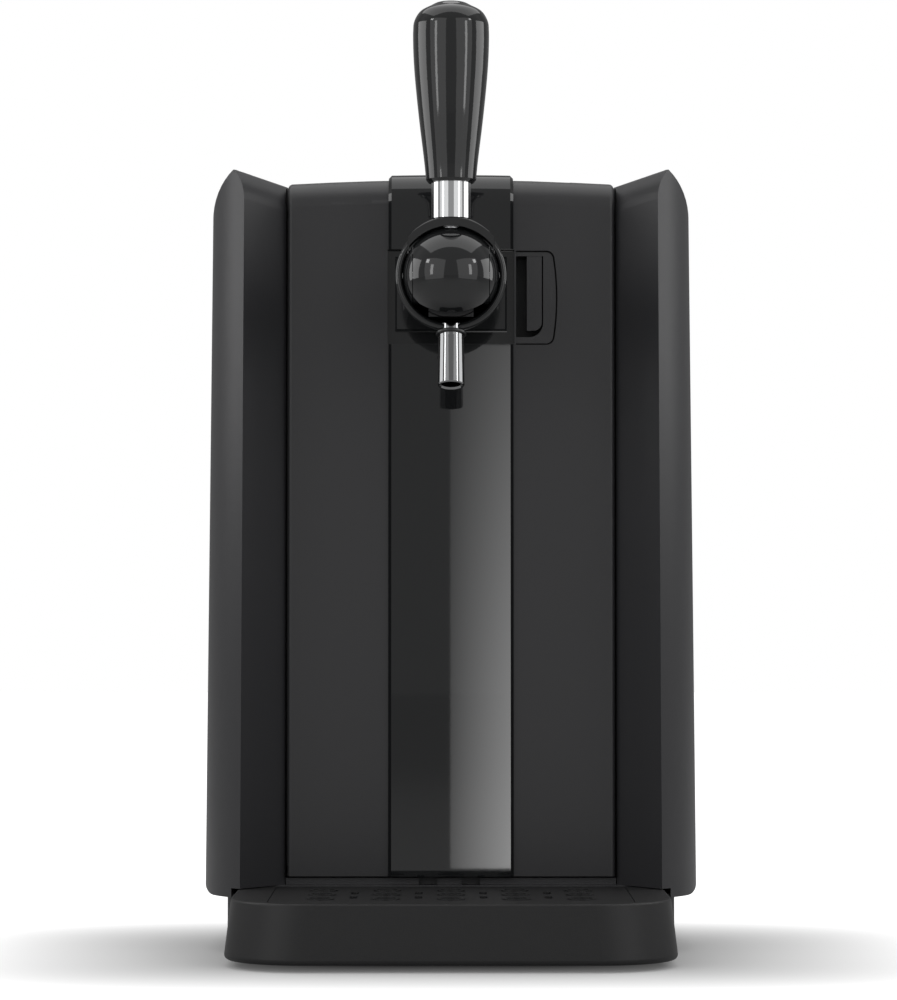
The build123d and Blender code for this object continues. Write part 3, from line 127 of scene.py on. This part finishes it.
class TapSettings(bpy.types.PropertyGroup):
    """Polished black tap with chrome fittings."""

    gloss_color: FloatVectorProperty(
        name="Gloss colour", description="Polished black of the tap, its grip and the strips",
        subtype="COLOR", size=3, min=0, max=1, default=(0.008, 0.0085, 0.009))
    chrome_color: FloatVectorProperty(
        name="Chrome colour", description="Bright plating of the ferrule",
        subtype="COLOR", size=3, min=0, max=1, default=(0.55, 0.556, 0.56))
    spout_color: FloatVectorProperty(
        name="Spout colour", description="Darker plating of the spout",
        subtype="COLOR", size=3, min=0, max=1, default=(0.21, 0.212, 0.215))
    polish: FloatProperty(
        name="Polish", description="Roughness of the polished black",
        subtype="FACTOR", min=0, max=1, default=0.06)
    spring_turns: IntProperty(
        name="Spring turns", description="Turns of the pinch spring's coil",
        min=1, max=20, default=4)
    spring_wire: FloatProperty(
        name="Spring wire", description="Thickness of the pinch spring's wire",
        subtype="DISTANCE", unit="LENGTH", min=0.0001, max=0.002, default=0.0007)


class StageSettings(bpy.types.PropertyGroup):
    """Floor, light and camera."""

    camera_distance: FloatProperty(
        name="Camera distance", description="From the camera to the object's middle",
        subtype="DISTANCE", unit="LENGTH", min=0.5, max=10, default=1.952)
    camera_height: FloatProperty(
        name="Camera height", description="Height of the camera over the counter",
        subtype="DISTANCE", unit="LENGTH", min=0, max=3, default=0.179)
    camera_pitch: FloatProperty(
        name="Camera pitch", description="Upward tilt of the camera",
        subtype="ANGLE", unit="ROTATION", min=-1.5, max=1.5, default=radians(1.9))
    room_level: FloatProperty(
        name="Room level", description="Strength of the dim light from all round",
        min=0, max=4, default=0.45)
    backdrop_level: FloatProperty(
        name="Backdrop level", description="Strength of the backdrop where gloss shows it",
        min=0, max=4, default=0.26)
    panel_level: FloatProperty(
        name="Panel level", description="Brightness of the two tall panels in front",
        min=0, max=20, default=0.75)
    lamp_level: FloatProperty(
        name="Lamp level", description="Brightness of the two small lamps above the panels",
        min=0, max=40, default=8)
    core_level: FloatProperty(
        name="Core level", description="Brightness of the narrow upright strips on the panels",
        min=0, max=40, default=4)
    side_level: FloatProperty(
        name="Side level", description="Brightness of the soft lights close to the sides",
        min=0, max=20, default=2.2)
    top_level: FloatProperty(
        name="Top level", description="Brightness of the wide soft light overhead",
        min=0, max=20, default=1.2)


# ---- shader groups --------------------------------------------------------------------------
def new_group(name, inputs, outputs):
    """A shader node group with float inputs (name, default) and outputs (name, socket type)."""
    group = bpy.data.node_groups.new(name, "ShaderNodeTree")
    for label, value in inputs:
        socket = group.interface.new_socket(label, in_out="INPUT", socket_type="NodeSocketFloat")
        socket.default_value = value
    for label, kind in outputs:
        group.interface.new_socket(label, in_out="OUTPUT", socket_type=kind)
    return group, group.nodes.new("NodeGroupInput"), group.nodes.new("NodeGroupOutput")


def maths(tree, operation, a, b=None, c=None, clamp=False):
    """One Math node; each input is a socket or a number."""
    node = tree.nodes.new("ShaderNodeMath")
    node.operation = operation
    node.use_clamp = clamp
    for socket, value in zip(node.inputs, (a, b, c)):
        if value is None:
            continue
        if isinstance(value, bpy.types.NodeSocket):
            tree.links.new(value, socket)
        else:
            socket.default_value = value
    return node.outputs[0]


def grain_group():
    """Spark-eroded mould texture: two octaves of noise give height, and a slow drift of gloss."""
    group, given, out = new_group(
        "Mould Grain", [("Scale", 1600.0), ("Drift", 0.05)],
        [("Height", "NodeSocketFloat"), ("Gloss Drift", "NodeSocketFloat")])
    place = group.nodes.new("ShaderNodeTexCoord")
    fine = group.nodes.new("ShaderNodeTexNoise")
    fine.inputs["Detail"].default_value = 3.0
    slow = group.nodes.new("ShaderNodeTexNoise")
    slow.inputs["Scale"].default_value = 9.0
    slow.inputs["Detail"].default_value = 2.0
    group.links.new(place.outputs["Object"], fine.inputs["Vector"])
    group.links.new(place.outputs["Object"], slow.inputs["Vector"])
    group.links.new(given.outputs["Scale"], fine.inputs["Scale"])
    drift = maths(group, "MULTIPLY", maths(group, "SUBTRACT", slow.outputs["Fac"], 0.5),
                  given.outputs["Drift"])
    group.links.new(fine.outputs["Fac"], out.inputs["Height"])
    group.links.new(drift, out.inputs["Gloss Drift"])
    return group


def up_face_group():
    """A lighter grey on faces that look up: normal's rise times noise, as a mask."""
    group, given, out = new_group("Up Face Grey", [("Amount", 0.1)], [("Mask", "NodeSocketFloat")])
    shape = group.nodes.new("ShaderNodeNewGeometry")
    split = group.nodes.new("ShaderNodeSeparateXYZ")
    place = group.nodes.new("ShaderNodeTexCoord")
    speck = group.nodes.new("ShaderNodeTexNoise")
    speck.inputs["Scale"].default_value = 140.0
    speck.inputs["Detail"].default_value = 5.0
    group.links.new(shape.outputs["Normal"], split.inputs["Vector"])
    group.links.new(place.outputs["Object"], speck.inputs["Vector"])
    rise = maths(group, "MULTIPLY", split.outputs["Z"], speck.outputs["Fac"], clamp=True)
    group.links.new(maths(group, "MULTIPLY", rise, given.outputs["Amount"], clamp=True),
                    out.inputs["Mask"])
    return group


def brush_group():
    """Lengthwise brush marks: noise stretched forty to one along X, as height."""
    group, given, out = new_group(
        "Brush Marks", [("Scale", BRUSH_GRAIN)], [("Height", "NodeSocketFloat")])
    place = group.nodes.new("ShaderNodeTexCoord")
    squeeze = group.nodes.new("ShaderNodeMapping")
    squeeze.inputs["Scale"].default_value = (0.025, 1.0, 1.0)
    marks = group.nodes.new("ShaderNodeTexNoise")
    marks.inputs["Detail"].default_value = 4.0
    group.links.new(place.outputs["Object"], squeeze.inputs["Vector"])
    group.links.new(squeeze.outputs["Vector"], marks.inputs["Vector"])
    group.links.new(given.outputs["Scale"], marks.inputs["Scale"])
    group.links.new(marks.outputs["Fac"], out.inputs["Height"])
    return group


def use_group(tree, group, **values):
    """One node of a shader group, with its own values; _ in a label stands for a space."""
    node = tree.nodes.new("ShaderNodeGroup")
    node.node_tree = group
    for label, value in values.items():
        node.inputs[label.replace("_", " ")].default_value = value
    return node


GROUPS = {}


def shared(name):
    """The shader group of that name, built once."""
    makers = {"grain": grain_group, "up_face_grey": up_face_group, "brush": brush_group}
    if name not in GROUPS:
        GROUPS[name] = makers[name]()
    return GROUPS[name]


def base_material(name, color, roughness, metallic=0.0, specular=0.5):
    """A material with a Principled shader whose constants are set on its own sockets."""
    material = bpy.data.materials.new(name)
    material.use_nodes = True
    shader = material.node_tree.nodes["Principled BSDF"]
    shader.inputs["Base Color"].default_value = (*color, 1)
    shader.inputs["Roughness"].default_value = roughness
    shader.inputs["Metallic"].default_value = metallic
    shader.inputs["Specular IOR Level"].default_value = specular
    material.diffuse_color = (*color, 1)
    return material, material.node_tree, shader


def moulded(name, color, roughness, scale, bump, up_face_grey=0.03, drift=0.06, specular=0.5):
    """Moulded plastic: fine grain in the normal, drifting gloss, and a little lighter grey on
    faces that look up.
    """
    material, tree, shader = base_material(name, color, roughness, specular=specular)
    grain = use_group(tree, shared("grain"), Scale=scale, Drift=drift)
    lift = tree.nodes.new("ShaderNodeBump")
    lift.inputs["Strength"].default_value = bump
    lift.inputs["Distance"].default_value = 0.0002
    tree.links.new(grain.outputs["Height"], lift.inputs["Height"])
    tree.links.new(lift.outputs["Normal"], shader.inputs["Normal"])
    tree.links.new(maths(tree, "ADD", grain.outputs["Gloss Drift"], roughness),
                   shader.inputs["Roughness"])
    # Faces that look up are mixed a little towards a lighter grey, speckled by noise.
    up_face_mask = use_group(tree, shared("up_face_grey"), Amount=up_face_grey)
    mix = tree.nodes.new("ShaderNodeMix")
    mix.data_type = "RGBA"
    mix.inputs["A"].default_value = (*color, 1)
    mix.inputs["B"].default_value = (*UP_FACE_GREY, 1)
    tree.links.new(up_face_mask.outputs["Mask"], mix.inputs["Factor"])
    tree.links.new(mix.outputs["Result"], shader.inputs["Base Color"])
    return material


def metal(name, color, roughness, bump):
    """Bare metal with brush marks in its normal."""
    material, tree, shader = base_material(name, color, roughness, metallic=1.0)
    marks = use_group(tree, shared("brush"), Scale=BRUSH_GRAIN)
    lift = tree.nodes.new("ShaderNodeBump")
    lift.inputs["Strength"].default_value = bump
    lift.inputs["Distance"].default_value = 0.0001
    tree.links.new(marks.outputs["Height"], lift.inputs["Height"])
    tree.links.new(lift.outputs["Normal"], shader.inputs["Normal"])
    return material


def dress(material, *nodes):
    """Give CAD nodes a material."""
    for node in nodes:
        mesh = NODES[node].data
        mesh.materials.clear()
        mesh.materials.append(material)


def coil_mesh(name, low, high, turns, wire):
    """A coil spring that fills the box from low to high.

    Two parameters: a runs along the wire, b runs round it. The wire's middle goes round a circle
    while it climbs evenly with a, and the surface stands half the wire's thickness off that
    middle, outward by the cosine of b and upward by its sine. Each end is closed by a flat face.
    """
    steps, sides = COIL_STEPS * turns + 1, WIRE_SIDES
    middle = (low + high) / 2
    ring = (high[0] - low[0] - wire) / 2
    a = np.linspace(0, 2 * pi * turns, steps)[:, None]
    b = np.linspace(0, 2 * pi, sides, endpoint=False)[None, :]
    reach = ring + wire / 2 * np.cos(b)
    climb = low[2] + wire / 2 + (high[2] - low[2] - wire) * a / a[-1]
    points = np.stack(np.broadcast_arrays(
        middle[0] + reach * np.cos(a), middle[1] + reach * np.sin(a),
        climb + wire / 2 * np.sin(b)), axis=-1)
    first = np.arange(steps - 1)[:, None] * sides + np.arange(sides)[None, :]
    after = np.arange(steps - 1)[:, None] * sides + (np.arange(sides)[None, :] + 1) % sides
    faces = np.stack((first, first + sides, after + sides, after), axis=-1).reshape(-1, 4)
    caps = [list(range(sides)), list(range(steps * sides - 1, (steps - 1) * sides - 1, -1))]
    mesh = bpy.data.meshes.new(name)
    mesh.from_pydata(points.reshape(-1, 3).tolist(), [], faces.tolist() + caps)
    mesh.update()
    mesh.polygons.foreach_set("use_smooth", [True] * len(faces) + [False, False])
    return mesh


# ---- operators ------------------------------------------------------------------------------
class DISPENSER_OT_housing(bpy.types.Operator):
    """Finish the shells, top, back, base and feet"""

    bl_idname = "dispenser.housing"
    bl_label = "Finish Housing"

    def execute(self, context):
        look = context.scene.dispenser_shell
        scale = 1.0 / look.grain_size
        shell = moulded("shell_satin", look.shell_color, roughness=0.4, scale=scale, bump=0.25,
                        specular=0.4)
        dress(shell, "side_shell_left", "side_shell_right", "top_cover")
        trim = moulded("trim_black", look.shell_color, roughness=0.5, scale=scale * 0.7, bump=0.5)
        dress(trim, "rear_panel", "base_plinth", "front_sill", "front_frame", "mains_inlet",
              "switch_bezel", "fan_frame", "fan_rotor")
        dress(moulded("foot_rubber", (0.03, 0.03, 0.03), roughness=0.85, scale=scale * 0.5,
                      bump=0.6), "rubber_feet")
        dress(metal("bright_steel", STEEL, roughness=0.28, bump=0.2), "panel_screws",
              "hinge_arm_upper", "hinge_arm_lower", "keeper_plate")
        dress(moulded("switch_red", (0.35, 0.015, 0.012), roughness=0.25, scale=scale, bump=0.1),
              "power_rocker")
        return {"FINISHED"}


class DISPENSER_OT_door(bpy.types.Operator):
    """Finish the door, its strips, window and finger grip"""

    bl_idname = "dispenser.door"
    bl_label = "Finish Door"

    def execute(self, context):
        look = context.scene.dispenser_shell
        tap = context.scene.dispenser_tap
        scale = 1.0 / look.grain_size
        dress(moulded("door_satin", look.door_color, roughness=0.42, scale=scale, bump=0.25),
              "door_panel")
        dress(moulded("strip_gloss", tap.gloss_color, roughness=0.025, scale=GLOSS_GRAIN,
                      bump=0.004, up_face_grey=0.01, drift=0.01),
              "strip_upper", "strip_lower", "tap_plate")
        dress(moulded("window_smoked", tap.gloss_color, roughness=0.16, scale=GLOSS_GRAIN,
                      bump=0.01, up_face_grey=0.02), "display_window")
        dress(moulded("grip_matt", look.door_color, roughness=0.5, scale=scale, bump=0.4),
              "grip_cup")
        dress(moulded("liner_grey", (0.13, 0.132, 0.137), roughness=0.35, scale=scale, bump=0.1),
              "door_liner")
        dress(moulded("seal_rubber", (0.03, 0.03, 0.032), roughness=0.7, scale=scale, bump=0.4),
              "door_gasket")
        dress(moulded("rigid_foam", (0.75, 0.7, 0.52), roughness=0.9, scale=500.0, bump=1.0),
              "insulation_floor", "insulation_shell", "insulation_roof")
        dress(moulded("graphite_foam", (0.02, 0.02, 0.021), roughness=0.9, scale=500.0,
                      bump=1.0), "door_core")
        dress(metal("pin_steel", STEEL, roughness=0.28, bump=0.2), "hinge_pins", "door_magnet")
        return {"FINISHED"}


class DISPENSER_OT_tap(bpy.types.Operator):
    """Finish the tap, its lever and its spout"""

    bl_idname = "dispenser.tap"
    bl_label = "Finish Tap"

    def execute(self, context):
        tap = context.scene.dispenser_tap
        gloss = moulded("tap_gloss", tap.gloss_color, roughness=tap.polish, scale=GLOSS_GRAIN,
                        bump=0.01, up_face_grey=0.0, drift=0.02)
        dress(gloss, "tap_body", "cheek_left", "cheek_right", "ball_rotor", "lever_hood",
              "handle_grip", "handle_cap")
        dress(metal("chrome_plate", tap.chrome_color, roughness=0.05, bump=0.0),
              "handle_ferrule")
        dress(metal("chrome_dark", tap.spout_color, roughness=0.08, bump=0.0), "spout")
        dress(moulded("seal_black", tap.gloss_color, roughness=0.35, scale=SOFT_GRAIN, bump=0.2),
              "spout_collar")
        steel = metal("tap_steel", STEEL, roughness=0.25, bump=0.2)
        dress(steel, "pivot_pin", "lever_stud")
        low, high = (np.array(corner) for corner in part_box("pinch_spring"))
        coil = bpy.data.objects.new(
            "pinch_coil", coil_mesh("pinch_coil", low, high, tap.spring_turns, tap.spring_wire))
        context.scene.collection.objects.link(coil)
        coil.data.materials.append(steel)
        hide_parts("pinch_spring")
        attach(coil, "door")
        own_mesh(coil)
        dress(moulded("acetal_black", (0.012, 0.012, 0.013), roughness=0.45, scale=SOFT_GRAIN,
                      bump=0.1), "valve_block", "pinch_slider")
        dress(moulded("acetal_white", (0.7, 0.71, 0.72), roughness=0.4, scale=SOFT_GRAIN,
                      bump=0.1), "tap_nut", "air_coupler")
        return {"FINISHED"}


class DISPENSER_OT_tray(bpy.types.Operator):
    """Finish the drip tray and its grid"""

    bl_idname = "dispenser.tray"
    bl_label = "Finish Tray"

    def execute(self, context):
        look = context.scene.dispenser_shell
        scale = 1.0 / look.grain_size
        dress(moulded("tray_satin", look.tray_color, roughness=0.48, scale=scale, bump=0.25,
                      specular=0.3), "drip_tray", "drip_grid")
        return {"FINISHED"}


class DISPENSER_OT_machinery(bpy.types.Operator):
    """Finish the cooling pack, the air supply and the electrics"""

    bl_idname = "dispenser.machinery"
    bl_label = "Finish Machinery"

    def execute(self, context):
        dress(metal("mill_aluminium", (0.72, 0.73, 0.75), roughness=0.35, bump=0.4),
              "chamber_liner", "cold_block", "heat_sink")
        dress(moulded("module_ceramic", (0.8, 0.8, 0.78), roughness=0.5, scale=700.0, bump=0.2),
              "peltier_module")
        dress(moulded("board_green", (0.02, 0.12, 0.05), roughness=0.3, scale=500.0, bump=0.2),
              "power_supply", "control_board")
        dress(moulded("pump_grey", (0.12, 0.12, 0.13), roughness=0.45, scale=SOFT_GRAIN,
                      bump=0.3), "air_pump")
        dress(moulded("hose_clear", (0.6, 0.61, 0.63), roughness=0.25, scale=400.0, bump=0.1),
              "air_hose")
        dress(moulded("display_dark", (0.01, 0.012, 0.02), roughness=0.1, scale=GLOSS_GRAIN,
                      bump=0.02), "display_module")
        return {"FINISHED"}


def sheet_mesh(name, corners):
    """A flat four-cornered sheet: corners given in turn."""
    mesh = bpy.data.meshes.new(name)
    mesh.from_pydata(corners, [], [tuple(range(len(corners)))])
    sheet = bpy.data.objects.new(name, mesh)
    bpy.context.scene.collection.objects.link(sheet)
    return sheet


def softbox(name, place, aim, width, height, level):
    """A rectangular soft light that faces aim; level is how bright its own face is."""
    lamp = bpy.data.lights.new(name, "AREA")
    lamp.shape = "RECTANGLE"
    lamp.size, lamp.size_y, lamp.energy = width, height, level * pi * width * height
    holder = bpy.data.objects.new(name, lamp)
    holder.location = place
    way = Vector(aim) - Vector(place)
    holder.rotation_euler = way.to_track_quat("-Z", "Y").to_euler()
    bpy.context.scene.collection.objects.link(holder)
    return holder


class DISPENSER_OT_stage(bpy.types.Operator):
    """Set the floor, the studio light and the camera"""

    bl_idname = "dispenser.stage"
    bl_label = "Set Stage"

    def lay_floor(self):
        """A pale floor lifted to white by its emission, which fades out in a soft pool round the
        object: a painted shadow over the lamps' real one.
        """
        far = FLOOR_HALF
        floor = sheet_mesh("floor", [(-far, -far, 0), (far, -far, 0), (far, far, 0),
                                     (-far, far, 0)])
        pale, tree, shader = base_material("floor_pale", (FLOOR_SHADE,) * 3, 0.6, specular=0.0)
        place = tree.nodes.new("ShaderNodeTexCoord")
        pool = tree.nodes.new("ShaderNodeMapping")
        pool.vector_type = "TEXTURE"
        pool.inputs["Location"].default_value = PAINTED_SHADOW_MIDDLE
        pool.inputs["Scale"].default_value = PAINTED_SHADOW_REACH
        square = tree.nodes.new("ShaderNodeVectorMath")
        square.operation = "MULTIPLY"
        reach = tree.nodes.new("ShaderNodeVectorMath")
        reach.operation = "LENGTH"
        tree.links.new(place.outputs["Object"], pool.inputs["Vector"])
        for socket in square.inputs[:2]:
            tree.links.new(pool.outputs["Vector"], socket)
        tree.links.new(square.outputs["Vector"], reach.inputs[0])
        # The emission fades out towards the pool's middle, painting a soft shadow on the floor
        # round the object.
        edge = tree.nodes.new("ShaderNodeMapRange")
        edge.inputs["From Min"].default_value, edge.inputs["From Max"].default_value = PAINTED_SHADOW_EDGE
        tree.links.new(reach.outputs["Value"], edge.inputs["Value"])
        path = tree.nodes.new("ShaderNodeLightPath")
        gloss = maths(tree, "MULTIPLY", path.outputs["Is Glossy Ray"], FLOOR_GLOSS_SHARE)
        seen = maths(tree, "MAXIMUM", path.outputs["Is Camera Ray"],
                     maths(tree, "MAXIMUM", gloss, path.outputs["Is Transmission Ray"]))
        shader.inputs["Emission Color"].default_value = WHITE
        tree.links.new(maths(tree, "MULTIPLY", seen, edge.outputs["Result"]),
                       shader.inputs["Emission Strength"])
        floor.data.materials.append(pale)

    def light_room(self, scene, stage):
        """A dim room, a backdrop that gloss shows behind the object, and white for the camera."""
        world = bpy.data.worlds.new("studio")
        scene.world = world
        world.use_nodes = True
        tree = world.node_tree
        back = tree.nodes["Background"]
        place = tree.nodes.new("ShaderNodeTexCoord")
        split = tree.nodes.new("ShaderNodeSeparateXYZ")
        tree.links.new(place.outputs["Generated"], split.inputs["Vector"])
        depth = tree.nodes.new("ShaderNodeMapRange")
        depth.interpolation_type = "SMOOTHSTEP"
        depth.inputs["From Min"].default_value, depth.inputs["From Max"].default_value = (
            BACKDROP_TURN)
        depth.inputs["To Min"].default_value = stage.room_level
        depth.inputs["To Max"].default_value = stage.backdrop_level
        tree.links.new(split.outputs["Y"], depth.inputs["Value"])
        path = tree.nodes.new("ShaderNodeLightPath")
        turn = maths(tree, "SUBTRACT", depth.outputs["Result"], stage.room_level)
        level = maths(tree, "MULTIPLY_ADD", turn, path.outputs["Is Glossy Ray"], stage.room_level)
        strength = maths(tree, "MAXIMUM", level, path.outputs["Is Camera Ray"])
        tree.links.new(strength, back.inputs["Strength"])
        back.inputs["Color"].default_value = WHITE

    def place_lights(self, stage):
        """The mirrored soft lights and the one overhead."""
        for side in (-1, 1):
            for name, (x, y, z), aim, width, height, setting in PAIRED_LIGHTS:
                softbox(f"{name}_{side}", (side * x, y, z), aim, width, height,
                        getattr(stage, setting))
        softbox(*TOP_LIGHT, stage.top_level)

    def hang_card(self):
        """A clear card that glows on the strips only: brighter to the right and to the foot."""
        card = sheet_mesh("strip_card", [
            (0, CARD_Y, 0), (0, CARD_Y, CARD_HEIGHT), (CARD_WIDTH, CARD_Y, CARD_HEIGHT),
            (CARD_WIDTH, CARD_Y, 0)])
        glow = bpy.data.materials.new("card_glow")
        glow.use_nodes = True
        tree = glow.node_tree
        tree.nodes.remove(tree.nodes["Principled BSDF"])
        clear = tree.nodes.new("ShaderNodeBsdfTransparent")
        light = tree.nodes.new("ShaderNodeEmission")
        both = tree.nodes.new("ShaderNodeAddShader")
        tree.links.new(clear.outputs["BSDF"], both.inputs[0])
        tree.links.new(light.outputs["Emission"], both.inputs[1])
        tree.links.new(both.outputs["Shader"], tree.nodes["Material Output"].inputs["Surface"])
        place = tree.nodes.new("ShaderNodeTexCoord")
        split = tree.nodes.new("ShaderNodeSeparateXYZ")
        tree.links.new(place.outputs["Object"], split.inputs["Vector"])
        left_glow, glow_rise = CARD_GLOW
        foot_share, share_rise = CARD_FADE
        across = maths(tree, "MULTIPLY_ADD", split.outputs["X"], glow_rise, left_glow)
        upward = maths(tree, "MULTIPLY_ADD", split.outputs["Z"], share_rise, foot_share)
        tree.links.new(maths(tree, "MULTIPLY", across, upward), light.inputs["Strength"])
        card.data.materials.append(glow)
        card.visible_camera = card.visible_diffuse = card.visible_shadow = False
        lit = bpy.data.collections.new("lit_by_card")
        for node in ("strip_upper", "strip_lower", "tap_plate"):
            lit.objects.link(NODES[node])
        card.light_linking.receiver_collection = lit

    def place_camera(self, scene, stage):
        """The camera in front, a little above the counter and tilted slightly up."""
        camera = bpy.data.cameras.new("camera")
        camera.sensor_width = SENSOR_WIDTH
        camera.lens = SENSOR_WIDTH * LENS_TO_SENSOR
        camera.clip_start = 0.05
        viewer = bpy.data.objects.new("camera", camera)
        viewer.location = (CAMERA_X, -stage.camera_distance, stage.camera_height)
        viewer.rotation_euler = (radians(90) + stage.camera_pitch, 0, 0)
        scene.collection.objects.link(viewer)
        scene.camera = viewer

    def execute(self, context):
        scene = context.scene
        stage = scene.dispenser_stage
        scene.view_settings.view_transform = "Standard"
        self.lay_floor()
        self.light_room(scene, stage)
        self.place_lights(stage)
        self.hang_card()
        self.place_camera(scene, stage)
        return {"FINISHED"}


OPERATORS = (
    DISPENSER_OT_housing, DISPENSER_OT_door, DISPENSER_OT_tap, DISPENSER_OT_tray,
    DISPENSER_OT_machinery, DISPENSER_OT_stage,
)


class DISPENSER_PT_panel(bpy.types.Panel):
    """Sidebar panel of the dispenser's settings and steps"""

    bl_idname = "DISPENSER_PT_panel"
    bl_label = "Keg Beer Dispenser"
    bl_space_type = "VIEW_3D"
    bl_region_type = "UI"
    bl_category = "Dispenser"

    def draw(self, context):
        scene = context.scene
        for settings in (scene.dispenser_shell, scene.dispenser_tap, scene.dispenser_stage):
            for label in settings.bl_rna.properties.keys():
                if label not in {"rna_type", "name"}:
                    self.layout.prop(settings, label)
        for operator in OPERATORS:
            self.layout.operator(operator.bl_idname)


SETTINGS = {
    "dispenser_shell": ShellSettings,
    "dispenser_tap": TapSettings,
    "dispenser_stage": StageSettings,
}


def register():
    for settings in SETTINGS.values():
        bpy.utils.register_class(settings)
    for operator in OPERATORS:
        bpy.utils.register_class(operator)
    bpy.utils.register_class(DISPENSER_PT_panel)
    for label, settings in SETTINGS.items():
        setattr(bpy.types.Scene, label, PointerProperty(type=settings))


def unregister():
    for label in SETTINGS:
        delattr(bpy.types.Scene, label)
    bpy.utils.unregister_class(DISPENSER_PT_panel)
    for operator in reversed(OPERATORS):
        bpy.utils.unregister_class(operator)
    for settings in reversed(list(SETTINGS.values())):
        bpy.utils.unregister_class(settings)


def main():
    """Register and run each step."""
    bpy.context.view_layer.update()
    register()
    bpy.ops.dispenser.housing()
    bpy.ops.dispenser.door()
    bpy.ops.dispenser.tap()
    bpy.ops.dispenser.tray()
    bpy.ops.dispenser.machinery()
    bpy.ops.dispenser.stage()


if __name__ == "__main__":
    main()
